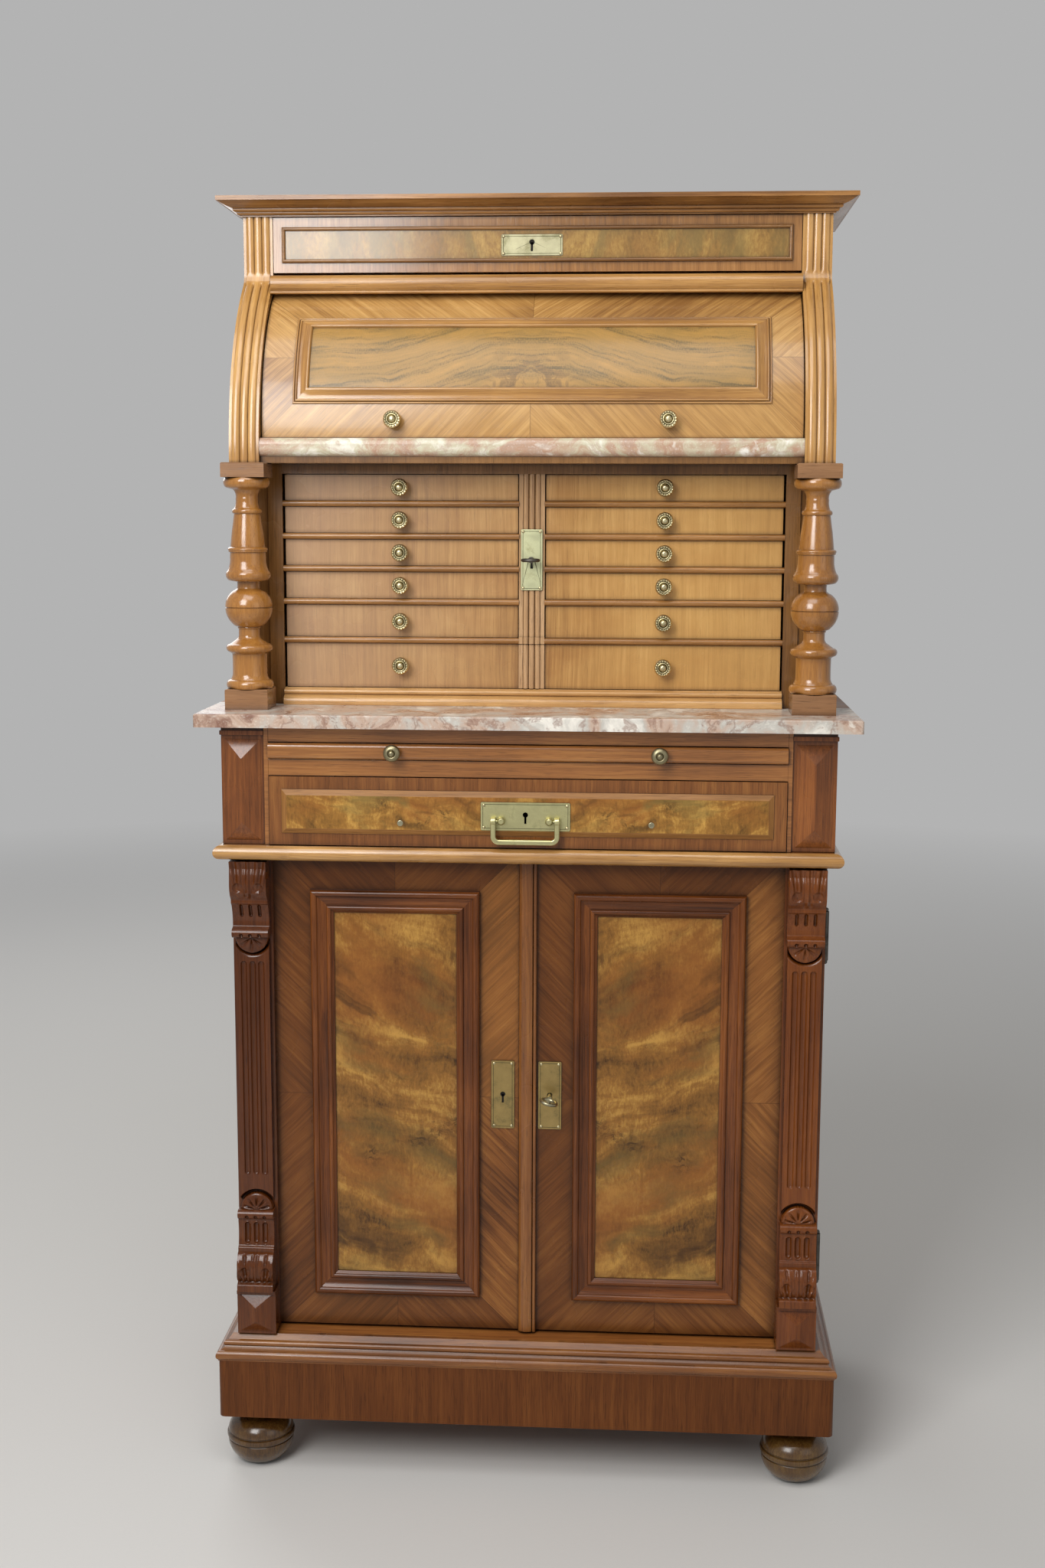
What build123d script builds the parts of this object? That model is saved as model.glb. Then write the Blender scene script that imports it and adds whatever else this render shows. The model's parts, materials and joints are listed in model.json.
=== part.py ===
from build123d import *
from math import sin, cos, radians, degrees, asin, atan2, sqrt
import os

os.makedirs("parts", exist_ok=True)

# Frame: +X to the right, front towards -Y, +Z up, floor at Z 0, millimetres.
# Names that end in _W are half widths, measured from the middle plane.

# Clearances
LAY = 0.6
EASE = 0.2
PIN_GAP = 0.06
RUN_GAP = 0.4

# Depth
DEPTH = 450.0
FRONT = -DEPTH / 2
BACK = DEPTH / 2
PANEL_T = 10.0
PANEL_Y = BACK - PANEL_T
BOARD_T = 18.0

# Feet and plinth
CASE_W = 366.0
PLINTH_OUT = 23.0
PLINTH_W = CASE_W + PLINTH_OUT
PLINTH_Y = FRONT + 12.0
PLINTH_T = 20.0
PLINTH_BASE_T = 14.0
FOOT_H = 76.0
FOOT_R = 42.0
FOOT_FLAT = 25.0
FOOT_NECK = 20.0
FOOT_X = PLINTH_W - FOOT_R - 2.0
FOOT_Y = (PLINTH_Y + FOOT_R + 4.0, BACK - FOOT_R - 5.0)
PLINTH_H = 75.7
PLINTH_TOP = FOOT_H + PLINTH_H
PLINTH_MOULD_H = 30.8
CASE_FLOOR = PLINTH_TOP + PLINTH_MOULD_H
CASE_Y = PLINTH_Y + PLINTH_OUT

# Doors
DOOR_H = 611.0
DOOR_T = 23.6
DOOR_FACE = FRONT + 58.0
DOOR_BACK = DOOR_FACE + DOOR_T
SEAM_Y = DOOR_BACK + RUN_GAP
DOOR_BOTTOM = CASE_FLOOR + 3.0
DOOR_TOP = DOOR_BOTTOM + DOOR_H
DOOR_RAIL_LOW = 50.0
DOOR_RAIL_HIGH = 47.0
STILE_IN = 68.0
STILE_T = 104.0
MEET = -9.0
MEET_GAP = 0.6
MOULD_T = 29.0
MOULD_LAP = 8.0
PANEL_SETBACK = 6.0
HINGE_PIN = 1.8
HINGE_R = 3.6
LEAF_T = 1.2
HINGE_H = 31.0
KNUCKLE = 11.0
HINGE_X = CASE_W + HINGE_R + 0.3
HINGE_Z = (DOOR_BOTTOM + 99.0, DOOR_TOP - 94.0)
PILASTER = 50.0
PIL_BACK = DOOR_FACE - 11.0

# Waist and frieze
WAIST_H = 18.0
WAIST_R = 11.0
WAIST_Z = (DOOR_TOP + 2.0, DOOR_TOP + 2.0 + WAIST_H)
WAIST_W = CASE_W + 6.0
WAIST_Y = FRONT + 26.0
FRIEZE_W = CASE_W + 7.0
BLOCK = 53.0
BLOCK_IN = FRIEZE_W - BLOCK
BLOCK_Y = FRONT + 31.0
BLOCK_BACK = FRONT + 60.0
RAIL_Y = FRONT + 28.0
DRAWER_W = BLOCK_IN - 6.0
DRAWER_H = 84.4
DRAWER_Y = FRONT + 26.0
DRAWER_BACK = BACK - 75.0
DRAWER_Z = (WAIST_Z[1] + 2 * LAY, WAIST_Z[1] + 2 * LAY + DRAWER_H)
RAIL_H = 20.6
RAIL_Z = (DRAWER_Z[1] + LAY, DRAWER_Z[1] + LAY + RAIL_H)
SLIDE_T = 19.4
SLIDE_Z = (RAIL_Z[1] + LAY, RAIL_Z[1] + LAY + SLIDE_T)
TOP_RAIL_H = 20.1
FRIEZE_TOP = SLIDE_Z[1] + LAY + TOP_RAIL_H

# Marble working top
MARBLE_OUT = 27.0
MARBLE_W = FRIEZE_W + MARBLE_OUT
MARBLE_D = 142.0
MARBLE_T = 16.0
MARBLE_BACK = FRONT + MARBLE_D
MARBLE_TOP = FRIEZE_TOP + MARBLE_T

# Columns
COL_BLOCK = 53.0
COL_X = CASE_W + 6.0 - COL_BLOCK / 2
COL_Y = FRONT + 52.0 + COL_BLOCK / 2
COL_BASE_H = 25.0
COL_CAP_H = 17.5

# Bank of small drawers
BANK_Y = FRONT + 135.0
BASE_RAIL_H = 21.1
ROW_GAP = 8.6
WIDE_H = 55.2
ROW_H = (39.5, 32.5, 31.6, 31.7, 31.1)
BANK_GUIDE = COL_X - COL_BLOCK / 2 - 7.0
BANK_W = BANK_GUIDE - 2.3
BANK_PIL = 16.0
BANK_IN = BANK_PIL + 1.0
BANK_BACK = BACK - 105.0
WIDE_Z0 = MARBLE_TOP + BASE_RAIL_H + 2 * RUN_GAP
WIDE_Z = (WIDE_Z0, WIDE_Z0 + WIDE_H)
ROWS = []
for row_h in ROW_H:
    row_z = (ROWS[-1] if ROWS else WIDE_Z)[1] + ROW_GAP
    ROWS.append((row_z, row_z + row_h))
BANK_TOP = ROWS[-1][1] + 1.0
LEDGE_T = 12.0
LEDGE = BANK_TOP + LEDGE_T

# Upper case
POST = 36.5
POST_OUT = CASE_W - 1.0
POST_IN = POST_OUT - POST
POST_R = 280.0
POST_FOOT = COL_Y - 10.5
POST_FILLET = 22.0
POST_DEEP = 26.0
UPPER_T = 20.0
UPPER_IN = POST_OUT - UPPER_T
SHELF_BOARD_T = 8.0
SHELF_T = 22.0
SHELF_Y = COL_Y - 6.5
SHELF_Z = (LEDGE + SHELF_BOARD_T, LEDGE + SHELF_BOARD_T + SHELF_T)
ROLL_R = 215.0
ROLL_T = 12.0
ROLL_W = POST_IN - 1.2
ROLL_Y = SHELF_Y + 14.0 + ROLL_R
ROLL_Z = SHELF_Z[1] + 4.0
ROLL_A = (-0.9, 56.0)
ROLL_PIN = 6.0
DUST_T = 4.0
DUST_Z = ROLL_Z + ROLL_R + 7.5
TRAY_H = 37.0
TRAY_Z = DUST_Z + DUST_T + LAY - 0.1
UPPER_TOP = TRAY_Z + TRAY_H + 6.0
FACE_H = 66.7
UPPER_RAIL_H = 22.4
UPPER_RAIL_TOP = UPPER_TOP - FACE_H - 5.9
RAIL_CLEAR = 7.0
rail_rise = UPPER_RAIL_TOP - UPPER_RAIL_H - ROLL_Z
POST_Y = ROLL_Y - sqrt((ROLL_R + RAIL_CLEAR) ** 2 - rail_rise ** 2) + 11.6
FACE_Y = POST_Y + 3.0
FACE_T = 18.0
CROWN_H = 22.0
CROWN_OUT = 28.4
HEIGHT = UPPER_TOP + CROWN_H


def board(x0, x1, y0, y1, z0, z1):
    return Pos((x0 + x1) / 2, (y0 + y1) / 2, (z0 + z1) / 2) * Box(x1 - x0, y1 - y0, z1 - z0)


def flip(solid):
    return mirror(solid, about=Plane.YZ)


def pair(solid):
    return [solid, flip(solid)]


def outline(items, place):
    """Closed face; an item of three values is the middle of an arc between its neighbours."""
    edges = []
    count = len(items)
    i = 0
    while i < count:
        a = items[i]
        b = items[(i + 1) % count]
        if len(b) == 3:
            c = items[(i + 2) % count]
            edges.append(Edge.make_three_point_arc(place(a), place(b), place(c)))
            i += 2
        else:
            edges.append(Edge.make_line(place(a), place(b)))
            i += 1
    return Face(Wire(edges))


def moved(items, du, dv):
    """The same outline, shifted."""
    return [(p[0] + du, p[1] + dv) + tuple(p[2:]) for p in items]


def prism_x(items, x0, x1):
    face = outline(items, lambda p: (x0, p[0], p[1]))
    return extrude(face, amount=x1 - x0, dir=(1, 0, 0))


def prism_y(items, y0, y1):
    face = outline(items, lambda p: (p[0], y0, p[1]))
    return extrude(face, amount=y1 - y0, dir=(0, 1, 0))


def prism_z(items, z0, z1):
    face = outline(items, lambda p: (p[0], p[1], z0))
    return extrude(face, amount=z1 - z0, dir=(0, 0, 1))


def turned_z(items, cx, cy):
    face = outline(items, lambda p: (cx + p[0], cy, p[1]))
    return revolve(face, Axis((cx, cy, 0), (0, 0, 1)), 360)


def turned_y(items, cx, cz, y):
    face = outline(items, lambda p: (cx + p[0], y + p[1], cz))
    return revolve(face, Axis((cx, 0, cz), (0, 1, 0)), 360)


def rod_x(x0, x1, y, z, r):
    return Pos((x0 + x1) / 2, y, z) * Rot(0, 90, 0) * Cylinder(r, x1 - x0)


def rod_y(x, y0, y1, z, r):
    return Pos(x, (y0 + y1) / 2, z) * Rot(90, 0, 0) * Cylinder(r, y1 - y0)


def rod_z(x, y, z0, z1, r):
    return Pos(x, y, (z0 + z1) / 2) * Cylinder(r, z1 - z0)


def save(name, solids):
    export_step(Compound(label=name, children=list(solids)), "parts/" + name + ".step")


def apron(items, w, yf, yb):
    """Moulding run along the front and both sides of a box, mitred at its two front corners."""
    reach = 60.0
    zs = [p[1] for p in items]
    low = min(zs) - 5
    high = max(zs) + 5
    front = prism_x([(yf - p[0],) + tuple(p[1:]) for p in items], -w - reach, w + reach)
    cut = [(-w - reach, yf - reach), (w + reach, yf - reach), (w - reach, yf + reach), (-w + reach, yf + reach)]
    front = front & prism_z(cut, low, high)
    side = prism_y([(w + p[0],) + tuple(p[1:]) for p in items], yf - reach, yb)
    cut = [(w + reach, yf - reach), (w + reach, yb), (w - reach, yb), (w - reach, yf + reach)]
    side = side & prism_z(cut, low, high)
    return [front] + pair(side)


def picture_frame(x0, x1, z0, z1, t, items, yf):
    """Four mitred lengths of moulding on a face at yf; items are inward distance and height."""
    deep = 30.0
    out = []
    for s, z in ((1, z0), (-1, z1)):
        cut = [(x0, z), (x1, z), (x1 - t, z + s * t), (x0 + t, z + s * t)]
        bar = prism_x([(yf - p[1], z + s * p[0]) + tuple(p[2:]) for p in items], x0, x1)
        out.append(bar & prism_y(cut, yf - deep, yf + deep))
    for s, x in ((1, x0), (-1, x1)):
        cut = [(x, z0), (x + s * t, z0 + t), (x + s * t, z1 - t), (x, z1)]
        bar = prism_z([(x + s * p[0], yf - p[1]) + tuple(p[2:]) for p in items], z0, z1)
        out.append(bar & prism_y(cut, yf - deep, yf + deep))
    return out


def hip(x0, x1, z0, z1, yb, rise, inset):
    """Hipped raised block: a vertical ridge in the middle, sloping to all four edges."""
    xm = (x0 + x1) / 2
    wedge = prism_z([(x0, yb), (x1, yb), (xm, yb - rise)], z0, z1)
    ends = prism_x([(yb, z0), (yb, z1), (yb - rise, z1 - inset), (yb - rise, z0 + inset)], x0, x1)
    return wedge & ends


def knob(x, z, y, r=10.8):
    """Turned knob on a rose, its axis along Y, standing out from the face at y."""
    k = r / 10.8
    items = [(0, 0), (8.6 * k, 0), (8.6 * k, -1.6), (5.4 * k, -3.0), (4.4 * k, -7.0), (8.4 * k, -9.6),
             (r, -13.6, 1), (8.6 * k, -17.6), (5.0 * k, -19.6), (0, -21.0)]
    return turned_y(items, x, z, y)


def drawer(x0, x1, z0, z1, y_face, front_t, deep, side_t, bottom_t, drop):
    """Drawer of five boards: front, two sides, back and bottom."""
    yb = y_face + front_t
    top = z1 - drop
    solids = [board(x0, x1, y_face, yb, z0, z1)]
    solids.append(board(x0, x0 + side_t, yb, deep, z0, top))
    solids.append(board(x1 - side_t, x1, yb, deep, z0, top))
    solids.append(board(x0 + side_t, x1 - side_t, deep - side_t, deep, z0, top))
    solids.append(board(x0 + side_t, x1 - side_t, yb, deep - side_t, z0, z0 + bottom_t))
    return solids


def keyhole(x, z, y0, y1):
    """Keyhole shape through a plate: a round eye over a slot."""
    return rod_y(x, y0, y1, z, 3.2) + board(x - 1.3, x + 1.3, y0, y1, z - 11, z)


# Bun feet: flattened balls with a short neck under the plinth
ball = FOOT_H - 17
foot_items = [(0, 0), (FOOT_FLAT, 0), (FOOT_R, 0.47 * ball, 1), (FOOT_NECK + 9.5, ball), (FOOT_NECK + 2, ball + 3),
              (FOOT_NECK, ball + 8), (FOOT_NECK, FOOT_H), (0, FOOT_H)]
save("bun_feet", [turned_z(foot_items, s * FOOT_X, y) for s in (-1, 1) for y in FOOT_Y])

# Plinth: a box of four boards round a base board
plinth_in = PLINTH_W - PLINTH_T
plinth_front = board(-PLINTH_W, PLINTH_W, PLINTH_Y, PLINTH_Y + PLINTH_T, FOOT_H, PLINTH_TOP)
plinth_front = fillet(plinth_front.edges().filter_by(Axis.Z).group_by(Axis.Y)[0], 7)
plinth_side = board(plinth_in, PLINTH_W, PLINTH_Y + PLINTH_T, BACK, FOOT_H, PLINTH_TOP)
plinth_back = board(-plinth_in, plinth_in, BACK - PLINTH_T, BACK, FOOT_H, PLINTH_TOP)
plinth_base = board(-plinth_in, plinth_in, PLINTH_Y + PLINTH_T, BACK - PLINTH_T, FOOT_H, FOOT_H + PLINTH_BASE_T)
save("plinth_box", [plinth_front] + pair(plinth_side) + [plinth_back, plinth_base])

# Plinth moulding: torus, cove, small bead and a weathered top, mitred round the front
o = PLINTH_OUT
z = PLINTH_TOP
cap = CASE_FLOOR - 6.2
plinth_items = [(0, z), (o, z), (o, z + 1.2), (o + 2.8, z + 7, 1), (o - 0.5, z + 12.6), (o - 2.5, z + 12.6),
                (o - 5.4, z + 14.4, 1), (o - 7.8, z + 17), (o - 7.8, cap - 7.4), (o - 6.2, cap - 4, 1),
                (o - 8.8, cap - 0.6), (o - 11.5, cap), (o - 17, CASE_FLOOR), (0, CASE_FLOOR)]
save("plinth_moulding", apron(plinth_items, CASE_W, CASE_Y, BACK))

# Lower case: floor, sides, waist board, frieze sides, drawer guides and slide runners
frieze_in = FRIEZE_W - BOARD_T
lower = [board(-CASE_W, CASE_W, CASE_Y, BACK, PLINTH_TOP, CASE_FLOOR)]
lower += pair(board(CASE_W - BOARD_T, CASE_W, SEAM_Y, PANEL_Y, CASE_FLOOR, WAIST_Z[0]))
lower += [board(-WAIST_W, WAIST_W, WAIST_Y, BACK, WAIST_Z[0], WAIST_Z[1])]
lower += pair(board(frieze_in, FRIEZE_W, BLOCK_BACK, BACK, WAIST_Z[1], FRIEZE_TOP))
lower += pair(board(DRAWER_W + 1, DRAWER_W + 26, BLOCK_BACK + 5, PANEL_Y - 1, WAIST_Z[1], WAIST_Z[1] + 15))
lower += pair(board(DRAWER_W - 18, frieze_in, BLOCK_BACK, PANEL_Y, RAIL_Z[1] - 12, RAIL_Z[1]))
save("lower_case", lower)

# Back panels of the lower case, the frieze, the bank and the upper case
bank_out = BANK_GUIDE + 2 * BOARD_T + 2
save("back_panels", [
    board(-CASE_W, CASE_W, PANEL_Y, BACK, CASE_FLOOR, WAIST_Z[0]),
    board(-frieze_in, frieze_in, PANEL_Y, BACK, WAIST_Z[1], FRIEZE_TOP),
    board(-bank_out, bank_out, PANEL_Y, BACK, MARBLE_TOP, BANK_TOP),
    board(-UPPER_IN, UPPER_IN, PANEL_Y, BACK, LEDGE, UPPER_TOP)])

# Cupboard shelf on two battens
case_in = CASE_W - BOARD_T
shelf_z = (CASE_FLOOR + WAIST_Z[0]) / 2 - 5
shelf = [board(-case_in + RUN_GAP, case_in - RUN_GAP, SEAM_Y + 31, PANEL_Y - 1, shelf_z, shelf_z + 16)]
shelf += pair(board(case_in - 18, case_in, SEAM_Y + 31, PANEL_Y - 1, shelf_z - 16, shelf_z))
save("cupboard_shelf", shelf)

# Waist moulding: half-round, mitred round the front
waist_mid = (WAIST_Z[0] + WAIST_Z[1]) / 2
waist_items = [(0, WAIST_Z[0]), (2.2, WAIST_Z[0]), (WAIST_R, waist_mid, 1), (2.2, WAIST_Z[1]), (0, WAIST_Z[1])]
save("waist_moulding", apron(waist_items, WAIST_W, WAIST_Y, BACK))

# Frieze corner blocks with a hipped face and a beaded cap
blocks = pair(board(BLOCK_IN, FRIEZE_W, BLOCK_Y, BLOCK_BACK, WAIST_Z[1], FRIEZE_TOP))
blocks += pair(board(BLOCK_IN, FRIEZE_W + 1.2, BLOCK_Y - 4, BLOCK_Y, FRIEZE_TOP - 12, FRIEZE_TOP - 6.5))
blocks += pair(hip(BLOCK_IN + 4, FRIEZE_W - 4, WAIST_Z[1] + 5, FRIEZE_TOP - 16.5, BLOCK_Y, 11, 24))
save("frieze_corner_blocks", blocks)

# Frieze rails above and below the slide, and narrow stiles beside the corner blocks
stile_in = DRAWER_W + 0.8
rails = [board(-stile_in, stile_in, RAIL_Y, BLOCK_BACK - 7, FRIEZE_TOP - TOP_RAIL_H, FRIEZE_TOP),
         board(-stile_in, stile_in, RAIL_Y, BLOCK_BACK, RAIL_Z[0], RAIL_Z[1])]
rails += pair(board(stile_in, BLOCK_IN, RAIL_Y, BLOCK_BACK, WAIST_Z[1], FRIEZE_TOP))
save("frieze_rails", rails)

# Marble slab at the front, wooden top behind it
marble = board(-MARBLE_W, MARBLE_W, FRONT, MARBLE_BACK, FRIEZE_TOP, MARBLE_TOP)
marble = fillet(marble.edges().filter_by(Axis.Z).group_by(Axis.Y)[0], 3)
marble = chamfer(marble.faces().sort_by(Axis.Z)[-1].edges().sort_by(Axis.Y)[0], 1.5)
save("marble_top", [marble])
save("top_board", [board(-MARBLE_W + 1, MARBLE_W - 1, MARBLE_BACK, BACK, FRIEZE_TOP, MARBLE_TOP)])

# Bank of drawers: guide boards, outer sides, partition, top, and the floor of the roll compartment
post_in = POST_IN - EASE
roll_arm = (ROLL_W - 16.3, ROLL_W - 4.3)
shelf_back = ROLL_Y - 51
bank = pair(board(BANK_GUIDE, BANK_GUIDE + BOARD_T, BANK_Y - 5, PANEL_Y, MARBLE_TOP, BANK_TOP))
bank += pair(board(BANK_GUIDE + BOARD_T, bank_out, BANK_Y - 2, PANEL_Y, MARBLE_TOP, BANK_TOP))
bank += [board(-BANK_PIL, BANK_PIL, BANK_Y + 2, PANEL_Y - 5, ROWS[0][0] - LAY, BANK_TOP)]
bank += [board(-POST_OUT, POST_OUT, BANK_Y - 5, BACK, BANK_TOP, LEDGE)]
bank += [board(-post_in, post_in, SHELF_Y + 7, PANEL_Y, LEDGE, SHELF_Z[0])]
bank += [board(-roll_arm[0] + 3, roll_arm[0] - 3, shelf_back, PANEL_Y, SHELF_Z[0], SHELF_Z[1])]
save("bank_case", bank)

# Dust boards between the rows, each with a half-round front bead
dust_back = BANK_BACK + 30


def dust_board(low, high, x0, x1):
    bead = [(BANK_Y - 2, low), (BANK_Y - 2 - (high - low) / 2, (low + high) / 2, 1), (BANK_Y - 2, high),
            (dust_back, high), (dust_back, low)]
    return prism_x(bead, x0, x1)


dust = [dust_board(WIDE_Z[1] + LAY, ROWS[0][0] - LAY, -BANK_GUIDE, BANK_GUIDE)]
for below, above in zip(ROWS[:-1], ROWS[1:]):
    dust += pair(dust_board(below[1] + LAY, above[0] - LAY, BANK_PIL, BANK_GUIDE))
save("bank_dust_boards", dust)

# Base rail of the bank: bead over an ogee
z = MARBLE_TOP + BASE_RAIL_H
base_items = [(-80, -21.1), (-107, -21.1), (-107, -17.1), (-105.5, -12.6, 1), (-100.5, -9.6), (-98.5, -8.1),
              (-100.8, -4.6, 1), (-97, -1.4), (-94, 0), (-80, 0)]
base_items = [(p[0] + 90 + BANK_Y, z + p[1] * BASE_RAIL_H / 21.1) + tuple(p[2:]) for p in base_items]
base_rail = [prism_x(base_items, -BANK_GUIDE, BANK_GUIDE)]
base_rail += [board(-BANK_GUIDE, BANK_GUIDE, BANK_Y + 10, dust_back, z - LEDGE_T, z)]
save("bank_base_rail", base_rail)

# Turned columns with square blocks above and below; radius, then height above the base block
col_low = MARBLE_TOP + COL_BASE_H
col_high = LEDGE - COL_CAP_H
r_col = [(0, 0), (27.5, 0), (29, 5, 1), (26.5, 10), (22, 14.5), (21.4, 17), (21.4, 42.5), (23.5, 44.1), (25.5, 45),
         (28.6, 49.7, 1), (24, 54.5), (15.5, 60.5), (13, 65.5), (13, 74.5), (20, 78.5), (29, 99.5, 1), (19, 119.5),
         (14, 122.5), (14, 130.5), (24, 132.5), (27.4, 137.7, 1), (25, 144.5), (22.4, 156.5), (21.8, 167.5),
         (22.8, 170.5, 1), (21, 173.5), (19, 193.5), (16.2, 213.5), (17.4, 217.3, 1), (15.4, 220.5), (14, 224.5),
         (14, 238.5), (17, 242.5), (26, 245.1), (28.4, 251, 1), (26, 257), (0, 257)]
col_k = (col_high - col_low) / 257
r_col = [(p[0], col_low + p[1] * col_k) + tuple(p[2:]) for p in r_col]
save("columns", [turned_z(r_col, s * COL_X, COL_Y) for s in (-1, 1)])
half = COL_BLOCK / 2
col_blocks = []
for z0, z1 in ((MARBLE_TOP, col_low), (col_high, LEDGE)):
    col_block = board(COL_X - half, COL_X + half, COL_Y - half, COL_Y + half, z0, z1)
    col_blocks += pair(chamfer(col_block.edges().group_by(Axis.Z)[-1], 1.2))
save("column_blocks", col_blocks)

# Marble shelf under the roll front
shelf_marble = board(-post_in, post_in, SHELF_Y, shelf_back, SHELF_Z[0], SHELF_Z[1])
shelf_marble = fillet(shelf_marble.edges().filter_by(Axis.X).group_by(Axis.Y)[0], 0.36 * SHELF_T)
save("upper_marble_shelf", [shelf_marble])

# Reeded posts: straight above, a short hollow sweep, then a long swell down to the capital blocks
reed = (POST - 7.0) / 3


def post_section(deep):
    """Across the width, height outwards: fillet, three reeds, fillet."""
    items = [(0, -deep), (0, -2.6), (3.5, -2.6)]
    for i in range(3):
        u = 3.5 + reed * i
        items += [(u + reed / 2, 0, 1), (u + reed, -2.6)]
    return items + [(POST, -2.6), (POST, -deep)]


post_c = (POST_FOOT + POST_R, LEDGE + 6)
fillet_dy = post_c[0] - POST_Y + POST_FILLET
fillet_dz = sqrt((POST_R + POST_FILLET) ** 2 - fillet_dy ** 2)
fillet_c = (POST_Y - POST_FILLET, post_c[1] + fillet_dz)
sweep_a = degrees(atan2(fillet_dz, fillet_dy))
start_a = degrees(asin((post_c[1] - LEDGE) / POST_R))
straight = outline(post_section(POST_DEEP + 5), lambda p: (POST_IN + p[0], POST_Y - p[1], fillet_c[1]))
straight = extrude(straight, amount=UPPER_TOP - fillet_c[1], dir=(0, 0, 1))
hollow = outline(post_section(POST_DEEP), lambda p: (POST_IN + p[0], POST_Y - p[1], fillet_c[1]))
hollow = revolve(hollow, Axis((0, fillet_c[0], fillet_c[1]), (-1, 0, 0)), sweep_a)
swell = outline(post_section(POST_DEEP), lambda p: (POST_IN + p[0], POST_FOOT - p[1], post_c[1]))
swell_axis = Axis((0, post_c[0], post_c[1]), (-1, 0, 0))
swell = revolve(swell.rotate(swell_axis, -start_a), swell_axis, start_a + sweep_a)
save("curved_posts", pair(straight) + pair(hollow) + pair(swell))


def post_polar(r, a):
    return (post_c[0] - r * cos(radians(a)), post_c[1] + r * sin(radians(a)))


# Upper case: side panels behind the posts, dust board over the roll front and top board
inner_r = POST_R - POST_DEEP
low_a = -degrees(asin((post_c[1] - LEDGE) / inner_r))
top_p = post_polar(inner_r, sweep_a)
mid_p = post_polar(inner_r, (low_a + sweep_a) / 2)
side_items = [post_polar(inner_r, low_a), mid_p + (1,), top_p, (BACK, top_p[1]), (BACK, LEDGE)]
pin_end = UPPER_IN + 12.4
side_low = prism_x(side_items, UPPER_IN, POST_OUT)
side_low = side_low - rod_x(UPPER_IN - 1, pin_end + LAY, ROLL_Y, ROLL_Z, ROLL_PIN + PIN_GAP)
side_high = board(UPPER_IN, POST_OUT, POST_Y + POST_DEEP + 5, BACK, top_p[1], UPPER_TOP)
upper = pair(side_low) + pair(side_high)
upper += [board(-UPPER_IN, UPPER_IN, POST_Y + 31, PANEL_Y, DUST_Z, DUST_Z + DUST_T)]
upper += [board(-POST_OUT, POST_OUT, POST_Y + 1, BACK, UPPER_TOP, HEIGHT)]
save("upper_case", upper)

# Moulded rail under the frieze drawer, clear of the roll front behind it
rail_items = [(-11, -22.4), (-17, -22.4), (-17, -19.4), (-19, -17.2, 1), (-17, -15), (-16, -14.4), (-19.5, -9.9, 1),
              (-16, -5.4), (-15, -4.8), (-17, -2.4, 1), (-14, 0), (15, 0), (15, -3.4)]
rail_items = [(p[0], p[1] * UPPER_RAIL_H / 22.4) + tuple(p[2:]) for p in rail_items]
save("upper_rail", [prism_x(moved(rail_items, POST_Y, UPPER_RAIL_TOP), -post_in, post_in)])

# Cornice: stepped beads and a cove under a square fillet, mitred round the front
o = CROWN_OUT
z = UPPER_TOP
lip = HEIGHT - 5.4
crown_items = [(0, z), (3, z), (3, z + 1.6), (6, z + 2.6, 1), (6.5, z + 5), (8.5, z + 5.4), (10.6, z + 7.2, 1),
               (10.4, z + 9.2), (12, z + 9.6), (o - 10.9, z + 11.6, 1), (o - 1.8, lip), (o, lip), (o, HEIGHT),
               (0, HEIGHT)]
save("cornice", apron(crown_items, POST_OUT, POST_Y + 1, BACK))

# Door hinges, case half: leaf, two knuckles and the pin in one piece
leaf_x = CASE_W + LEAF_T
case_hinges = []
for z in HINGE_Z:
    half_hinge = board(CASE_W, leaf_x, SEAM_Y + 4.4, SEAM_Y + 21, z - HINGE_H, z + HINGE_H)
    for z0, z1 in ((z - HINGE_H, z - KNUCKLE), (z + KNUCKLE, z + HINGE_H)):
        half_hinge += rod_z(HINGE_X, SEAM_Y, z0, z1, HINGE_R)
        half_hinge += board(CASE_W, leaf_x, SEAM_Y, SEAM_Y + 4.4, z0, z1)
        half_hinge += board(CASE_W, HINGE_X, SEAM_Y, SEAM_Y + LEAF_T, z0, z1)
    half_hinge += rod_z(HINGE_X, SEAM_Y, z - HINGE_H, z + HINGE_H, HINGE_PIN)
    for dz in (-HINGE_H - 2, HINGE_H + 2):
        half_hinge += Pos(HINGE_X, SEAM_Y, z + dz) * Sphere(HINGE_R - 0.7)
    case_hinges += pair(half_hinge)
save("case_hinges", case_hinges)


def door_knuckle(z):
    """Door half of a hinge: leaf on the door's edge and the bored middle knuckle."""
    k = KNUCKLE - RUN_GAP
    y = SEAM_Y - RUN_GAP - 0.1
    leaf = board(CASE_W, leaf_x, DOOR_FACE + 2, SEAM_Y - 4.4, z - HINGE_H, z + HINGE_H)
    leaf += board(CASE_W, leaf_x, SEAM_Y - 4.4, y, z - k, z + k)
    leaf += board(CASE_W, HINGE_X, y - LEAF_T, y, z - k, z + k)
    leaf += rod_z(HINGE_X, SEAM_Y, z - k, z + k, HINGE_R)
    return leaf - rod_z(HINGE_X, SEAM_Y, z - HINGE_H, z + HINGE_H, HINGE_PIN + PIN_GAP)


# Doors: frame of two stiles and two rails, field panel, applied moulding, carved pilaster
stile_x = CASE_W - STILE_T
rail_low = DOOR_BOTTOM + DOOR_RAIL_LOW
rail_high = DOOR_TOP - DOOR_RAIL_HIGH


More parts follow.
